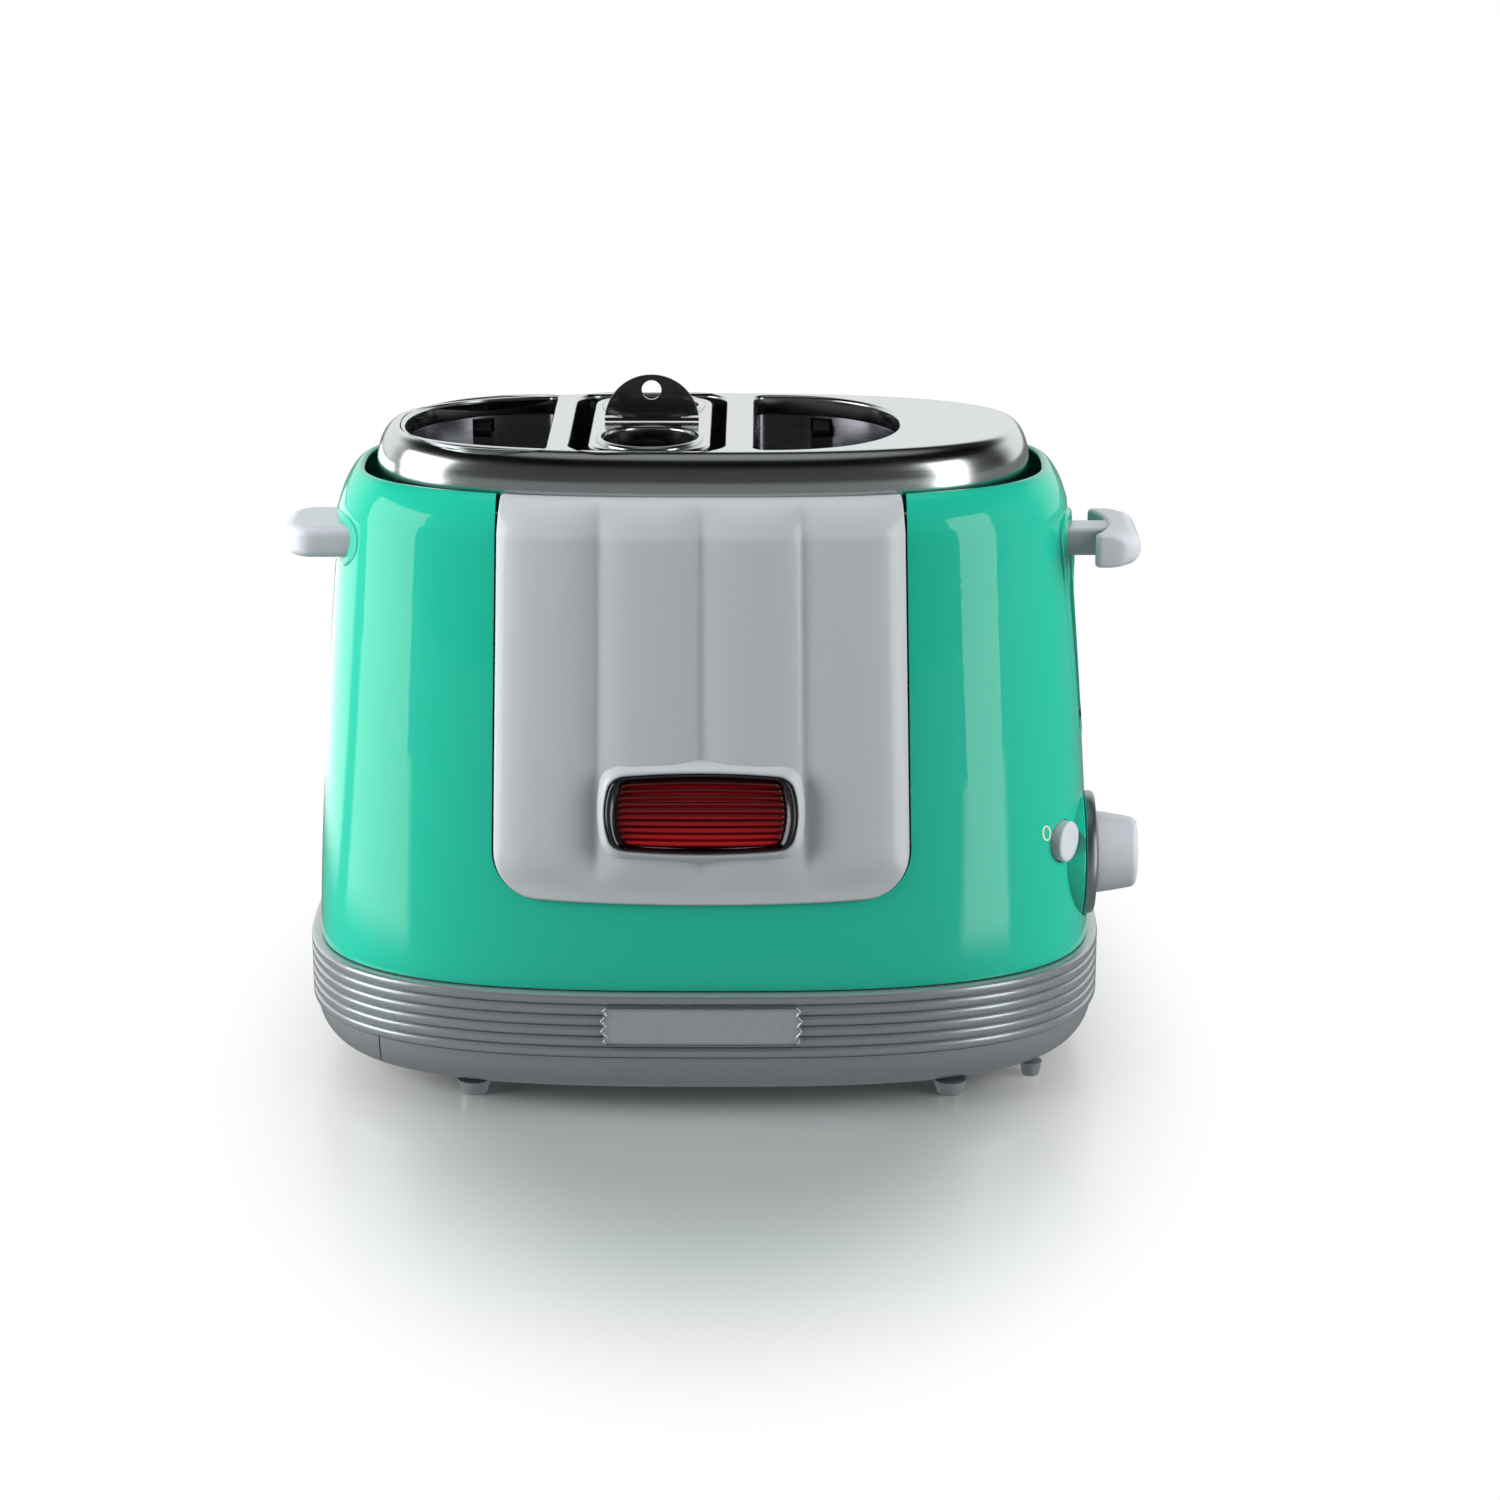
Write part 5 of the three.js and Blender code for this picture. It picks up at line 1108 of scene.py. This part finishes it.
def tube_rings(points, radius_a, radius_b, count=10, closed=False):
    """Rings of an oval tube along a path: radius_a lies flat, radius_b stands up."""
    rings = []
    for i, p in enumerate(points):
        ahead = points[(i + 1) % len(points)] if closed or i < len(points) - 1 else p
        behind = points[i - 1] if closed or i else p
        along = (ahead - behind).normalized()
        level = Vector((0, 0, 1)).cross(along)
        level = level.normalized() if level.length > 0.05 else Vector((0, 1, 0))
        up = along.cross(level)
        rings.append([p + level * radius_a * cos(a) + up * radius_b * sin(a) for a in whole_turn(count)])
    return rings


# %% Cage bars, hoops and floor
CAGE_FLOOR, BAR_X, HOOP_WIRE = 1.2, 17.6, 0.8
cage_bars = []
for x in (CAGE_X - BAR_X, CAGE_X + BAR_X):
    for y in (-33, -15, 15, 33):
        path = [Vector((x, y, z)) for z in (CAGE_BOTTOM + CAGE_FLOOR, CAGE_BOTTOM + 40, 203.5, 205.8)]
        cage_bars.append(loft(tube_rings(path, 2.0, 0.8, 12), "cap"))
for y in (-MOUTH_Y, MOUTH_Y):
    for z in (CAGE_BOTTOM + 24, CAGE_BOTTOM + 52, CAGE_BOTTOM + 80):
        hoop = [flat(p, z) for p in circle(CAGE_X, y, 16.2, 48)]
        cage_bars.append(loft(tube_rings(hoop, HOOP_WIRE, HOOP_WIRE, 8, closed=True)))
cage_floor = even_rectangle(BAR_X, 37.4, 9, 96, CAGE_X)
cage_bars.append(pillow(cage_floor, CAGE_BOTTOM, CAGE_BOTTOM + CAGE_FLOOR, 0.5, flat, 3))
put(joined(cage_bars), "cage_bars", "polished_steel", body="cage", sharp=45)

# %% Black handle with its hole and slits


def handle_place(point, level):
    return Vector((CAGE_X + point.x, 1.0 + level, CAGE_TOP + 0.3 + point.y))


handle_edge = even_outline(arc(0, 0, 15.1, 0, pi, 48), 128)
handle = pillow(handle_edge, -0.65, 0.65, 0.3, handle_place, 3)
slits = [[p + Vector((x, 1.5)) for p in rounded_rectangle(3.2, 0.36, 0.3, 4, 2)] for x in (-12.6, 12.6)]
for opening in [circle(0, 10.2, 3.15, 48)] + slits:
    handle = carve(handle, loft([[handle_place(p, level) for p in opening] for level in (-3, 3)], "cap"))
put(handle, "cage_grip", "black_steel", "cage_handle", body="cage")

# %% [markdown]
# ## Lever, grip, knob and stop button
# These are the pieces a hand touches. The paddle is a moulded C with soft edges on a stem that runs
# through the slot, and the fixed grip on the left is a plain rounded tongue. The knob and the button
# are turned shapes, so a profile is spun round their axes.

# %% Lever paddle
LEVER_Z = 172.8


def paddle_outline():
    """The paddle from above: a flat outer face, round corners, two blunt horns and a hollow."""
    upper = arc(131.7, 11, 7, 0, pi / 2) + arc(125.9, 16.1, 1.9, pi / 2, radians(150))
    hollow = [Vector((123.6 + 5.2 * (1 - (y / 16.7) ** 2), y)) for y in [14 - 28 * i / 20 for i in range(21)]]
    lower = [Vector((p.x, -p.y)) for p in reversed(upper)]
    return even_outline([p + Vector((0, LEVER_Y)) for p in upper + hollow + lower], 240)


paddle_edge = paddle_outline()
paddle_round = [1.3 + 3.5 * soft_step((p.x - 128.2) / 8) for p in paddle_edge]
paddle = pillow(paddle_edge, LEVER_Z - 5.45, LEVER_Z + 5.45, paddle_round, flat, 9)
stem = sideways(even_rectangle(6, 4.5, 1.2, 64, steps=5, straight=3), LEVER_Y, LEVER_Z,
                ((104, -0.4), (104.4, 0), (120, 0), (127.4, 0), (128.4, 0.2), (131, 0.2)))
put(joined([paddle, loft(stem, "cap")]), "white_paddle", "trim_gloss", "lever_paddle", body="carriage")

# %% Fixed grip
grip_edge = even_rectangle(15, 15.3, 9, 160, -117.6, LEVER_Y, 14, 8)
grip = pillow(grip_edge, GRIP_MIDDLE - 5, GRIP_MIDDLE + 5, 3.2, flat, 8)
put(grip, "white_grip", "trim_gloss", "side_grip")

# %% Knob and dial
knob_profile = [(12.0, 128.6), (12.6, 127.3), (12.95, 127.1), (13.2, 127.5), (13.15, 128.6), (12.75, 131.4),
                (12.1, 135.2), (11.55, 138.2), (11.3, 139.2), (10.8, 140.05), (9.9, 140.5), (8.6, 140.7),
                (6.0, 140.45), (3.0, 140.3), (0, 140.25)]
knob = spun([(0, 128.6)] + [tuple(p) for p in curve_through(knob_profile, 3)], (1, 0, 0), knob_middle, 120)
pointer = sideways(rounded_rectangle(1.0, 3.6, 0.95, 6, 3), KNOB_Y, KNOB_Z + 7.2,
                   ((139.6, 0.0), (140.45, 0.0), (140.65, -0.2), (140.7, -0.6)))
put(joined([knob, loft(pointer, "cap")]), "white_knob", "trim_gloss", "timer_knob", body="knob")
dial_profile = [(3.7, 123.2), (19.4, 123.2), (19.9, 123.6), (20, 124.3), (20, 125.6), (19.7, 126.35),
                (19.1, 126.7), (18.3, 126.65), (17.8, 126.3), (14.2, 126.3), (13.9, 126.6),
                (3.7, 126.6), (3.7, 123.2)]
dial = spun(dial_profile, (1, 0, 0), knob_middle, 120)
put(dial, "spun_dial", "silver_paint", "dial_plate", sharp=35, special=spun_metal)

# %% Dial ticks, long and short in turn
TICKS, FIRST_TICK, TICK_STEP, DIAL_FACE = 11, 225, 27, 126.3
ticks = []
for i in range(TICKS):
    turned = Matrix.Rotation(-radians(FIRST_TICK - TICK_STEP * i), 4, "X")
    turn_to = Matrix.Translation((DIAL_FACE, KNOB_Y, KNOB_Z)) @ turned
    tick = rounded_rectangle(0.22, 0.75 if i % 2 else 1.2, 0.18, 3, 2)
    ticks.append(loft([[turn_to @ Vector((x, 16.6 + p.y, p.x)) for p in tick] for x in (-0.15, 0.22)], "cap"))
put(joined(ticks), "dial_ticks", "black_plastic")

# %% Stop button and its round mark
button_profile = [(0, -6.4), (2.4, -6.4), (2.4, -2.2), (6.2, -2.2), (6.6, -1.9), (6.65, -1.4), (6.65, 1.6),
                  (6.55, 2.1), (6.2, 2.5), (5.5, 2.68), (4.0, 2.62), (2.0, 2.5), (0, 2.46)]
button = spun(button_profile, button_axis, button_base, 80)
put(button, "white_button", "trim_gloss", "stop_button", body="button", sharp=38)
mark_inner = [Vector((-47.8 + 0.95 * cos(a), 84.6 + 2.1 * sin(a))) for a in whole_turn(64)]
mark_outer = grown(mark_inner, 0.42)
mark = [[side_point(p.x, p.y, out) for p in outline] for outline, out in
        ((mark_outer, -0.05), (mark_outer, 0.09), (mark_inner, 0.09), (mark_inner, -0.05))]
put(loft(mark), "stop_mark", "trim_gloss", sharp=60, special=cream_print)

# %% [markdown]
# ## Feet and the pieces that stay as they are
# Six short tapered feet carry the bowl. Everything inside, such as the trays, the guides and the
# boards, keeps its CAD shape and only gets a finish that suits its material.

# %% Feet
foot_places = {
    "foot_front_left": (-73.6, -57.5, 5.4, 4.2), "foot_back_left": (-73.6, 57.5, 5.4, 4.2),
    "foot_front_right": (79.6, -57.5, 5.4, 4.2), "foot_back_right": (79.6, 57.5, 5.4, 4.2),
    "foot_side_front": (106.5, -42.5, 3.6, 2.8), "foot_side_back": (106.5, 42.5, 3.6, 2.8),
}
for cad_foot, (x, y, wide, narrow) in foot_places.items():
    profile = [(0, 0), (narrow - 0.5, 0), (narrow - 0.12, 0.15), (narrow, 0.5), (wide - 0.15, 4.0),
               (wide, 4.7), (0, 4.7)]
    foot = spun(profile, (0, 0, 1), (x, y, 0), 64)
    put(foot, cad_foot.replace("foot", "base_foot"), "silver_paint", cad_foot, sharp=45)

# %% Lift spring round the front guide rod
SPRING_LOW, SPRING_HIGH, LEVER_TRAVEL = 41.8, 166.5, 56.0
COILS, COIL_POINTS, COIL_RADIUS, WIRE = 10, 32, 3.8, 0.7
spring_foot = Vector((84.9, -32.0, SPRING_LOW))
wind = []
for i in range(COILS * COIL_POINTS + 1):
    a, climb = 2 * pi * i / COIL_POINTS, i / (COILS * COIL_POINTS)
    height = WIRE + (SPRING_HIGH - SPRING_LOW - 2 * WIRE) * climb
    wind.append(spring_foot + Vector((COIL_RADIUS * cos(a), COIL_RADIUS * sin(a), height)))
spring = put(loft(tube_rings(wind, WIRE, WIRE, 12), "cap"), "coil_spring", "zinc", "lift_spring", sharp=60)
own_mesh(spring)

# %% Finishes of the carried pieces
for name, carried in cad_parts.items():
    for slot in carried.material_slots:
        label = slot.material.name.split(".")[0] if slot.material else ""
        if label in finish_of_slot:
            slot.material = finish_of_slot[label]
        else:
            print("no finish for", name, label)

# %% [markdown]
# ## Floor, background and light
# The product stands on a pale glossy floor that melts into a white background. Rays from the camera
# meet plain white far away, and near the toaster the floor's own grey, painted shade round the
# toaster on which the real shadow falls. In mirrors the floor glows in painted bands that carry on
# the soft boxes' reflections.
# Two tall soft boxes at the sides draw the bright upright bands on the shell's corners. Two fills and
# a light overhead only brighten: no mirror shows them.

# %% Floor


def soft_remap(tree, source, low, high, to_low=0.0, to_high=1.0):
    return remap(tree, source, low, high, to_low, to_high, interpolation_type="SMOOTHSTEP")


def seen_by_camera(tree, ray):
    """1 for rays from the camera, also through something clear."""
    return maths(tree, "MAXIMUM", ray["Is Camera Ray"], ray["Is Transmission Ray"])


def make_floor_finish():
    """Grey and glossy under the toaster, a grey that is painted shade round it under its real shadow,
    and for the camera plain white further out. In mirrors it glows a dark grey, so that the paint keeps
    its colour, and it glows in painted bright bands that carry on the soft boxes' reflections, as a
    polished floor would mirror them."""
    material, tree, shader = finish("studio_floor", (0.33, 0.345, 0.35), 0.2, ior=2.3)
    give_smudges(tree, shader, 0.19, 0.21, 3)
    at = object_place(tree)
    split = node(tree, "SeparateXYZ", {"Vector": at}).outputs
    ray = node(tree, "LightPath").outputs

    def soft(*limits):
        return soft_remap(tree, *limits)

    def length(vector):
        return node(tree, "VectorMath", {0: vector}, operation="LENGTH").outputs["Value"]

    def times(a, b):
        return maths(tree, "MULTIPLY", a, b)

    # Painted shade: inside this oval round the toaster the camera sees the floor's own grey, outside it plain
    # white.
    oval = node(tree, "VectorMath", {0: at, 1: (1.75, 1.0, 1.0)}, operation="MULTIPLY").outputs["Vector"]
    seen = times(seen_by_camera(tree, ray), soft(length(oval), 0.13, 0.30))
    mirrored = ray["Is Glossy Ray"]
    bearing = maths(tree, "ARCTAN2", split["X"], times(split["Y"], -1.0))
    clear_of_toaster = soft(length(at), 0.28, 0.42)
    # Painted reflections: in mirrors the floor glows dark grey, with bright bands where the soft boxes'
    # reflections carry on.
    painted_bands = 0.2
    for start, end, strength, aim, reach in ((-152, -104, 1.7, -128, 4.0), (-94, -56, 2.3, -75, 1.34),
                                             (42, 60, 2.3, 51, 1.34)):
        across = times(soft(bearing, radians(start - 2), radians(start + 2), 0.0, strength),
                       soft(bearing, radians(end - 2), radians(end + 2), 1.0, 0.0))
        along = maths(tree, "SUBTRACT", times(split["X"], sin(radians(aim))),
                      times(split["Y"], cos(radians(aim))))
        band = times(across, times(clear_of_toaster, soft(along, reach, reach + 0.03, 1.0, 0.0)))
        painted_bands = maths(tree, "ADD", band, painted_bands)
    # Glows plain white for the camera and, in mirrors, dark grey with the painted reflection bands.
    white = node(tree, "Emission", {"Strength": mix_numbers(tree, mirrored, 1.0, painted_bands)})
    shown = node(tree, "MixShader", {"Fac": maths(tree, "MAXIMUM", seen, mirrored), 1: shader.outputs["BSDF"],
                                     2: white.outputs["Emission"]})
    tree.links.new(shown.outputs["Shader"], tree.nodes["Material Output"].inputs["Surface"])
    return material


disc = bmesh.new()
bmesh.ops.create_circle(disc, cap_ends=True, radius=18, segments=128)
studio_floor = add_object("studio_floor", as_mesh(disc, "studio_floor"))
studio_floor.data.materials.append(make_floor_finish())

# %% World


def make_studio_world():
    """White to the camera. Metal and gloss see white walls, a dark ceiling with a soft light right
    overhead, and a dim side behind the camera."""
    world = bpy.data.worlds.new("studio_world")
    world.use_nodes = True
    tree = world.node_tree
    tree.nodes.clear()
    ray = node(tree, "LightPath").outputs
    split = node(tree, "SeparateXYZ", {"Vector": node(tree, "TexCoord").outputs["Generated"]}).outputs
    up = soft_remap(tree, split["Z"], 0.46, 0.72, 1.0, 0.02)
    far_side = soft_remap(tree, split["Y"], 0.0, 0.55, 0.07, 1.15)
    overhead = remap(tree, split["Z"], 0.90, 0.97, 0.0, 0.35)
    mirrored = maths(tree, "MAXIMUM", maths(tree, "MULTIPLY", up, far_side), overhead)
    unseen = mix_numbers(tree, ray["Is Glossy Ray"], 0.17, mirrored)
    sky = node(tree, "Background", {"Strength": mix_numbers(tree, seen_by_camera(tree, ray), unseen, 1.0)})
    node(tree, "OutputWorld", {"Surface": sky.outputs["Background"]})
    return world


bpy.context.scene.world = make_studio_world()

# %% Soft boxes


def soft_box(name, at, aim, wide, tall, power, mirrored):
    lamp = bpy.data.lights.new(name, "AREA")
    lamp.shape, lamp.size, lamp.size_y, lamp.energy = "RECTANGLE", wide, tall, power
    box = add_object(name, lamp)
    box.location = at
    box.rotation_euler = (Vector(aim) - Vector(at)).to_track_quat("-Z", "Y").to_euler()
    box.visible_glossy = mirrored


def round_the_toaster(bearing, distance, height):
    """A place at a bearing from the front, in degrees to the right."""
    return (distance * sin(radians(bearing)), -distance * cos(radians(bearing)), height)


toaster_heart = (0, 0, 0.11)
for name, at, wide, tall, power, mirrored in (
        ("left_soft_box", round_the_toaster(-75, 1.25, 0.42), 0.85, 0.95, 6, True),
        ("right_soft_box", round_the_toaster(51, 1.25, 0.42), 0.38, 0.95, 2.6, True),
        ("left_fill", round_the_toaster(-78, 1.2, 0.45), 0.7, 1.0, 24, False),
        ("right_fill", round_the_toaster(76, 1.2, 0.45), 0.7, 1.0, 18, False),
        ("top_soft_box", (0.0, 0.1, 1.5), 1.2, 0.9, 8, False)):
    soft_box(name, at, toaster_heart, wide, tall, power, mirrored)

# %% Colours as they are written
bpy.context.scene.view_settings.view_transform = "Standard"
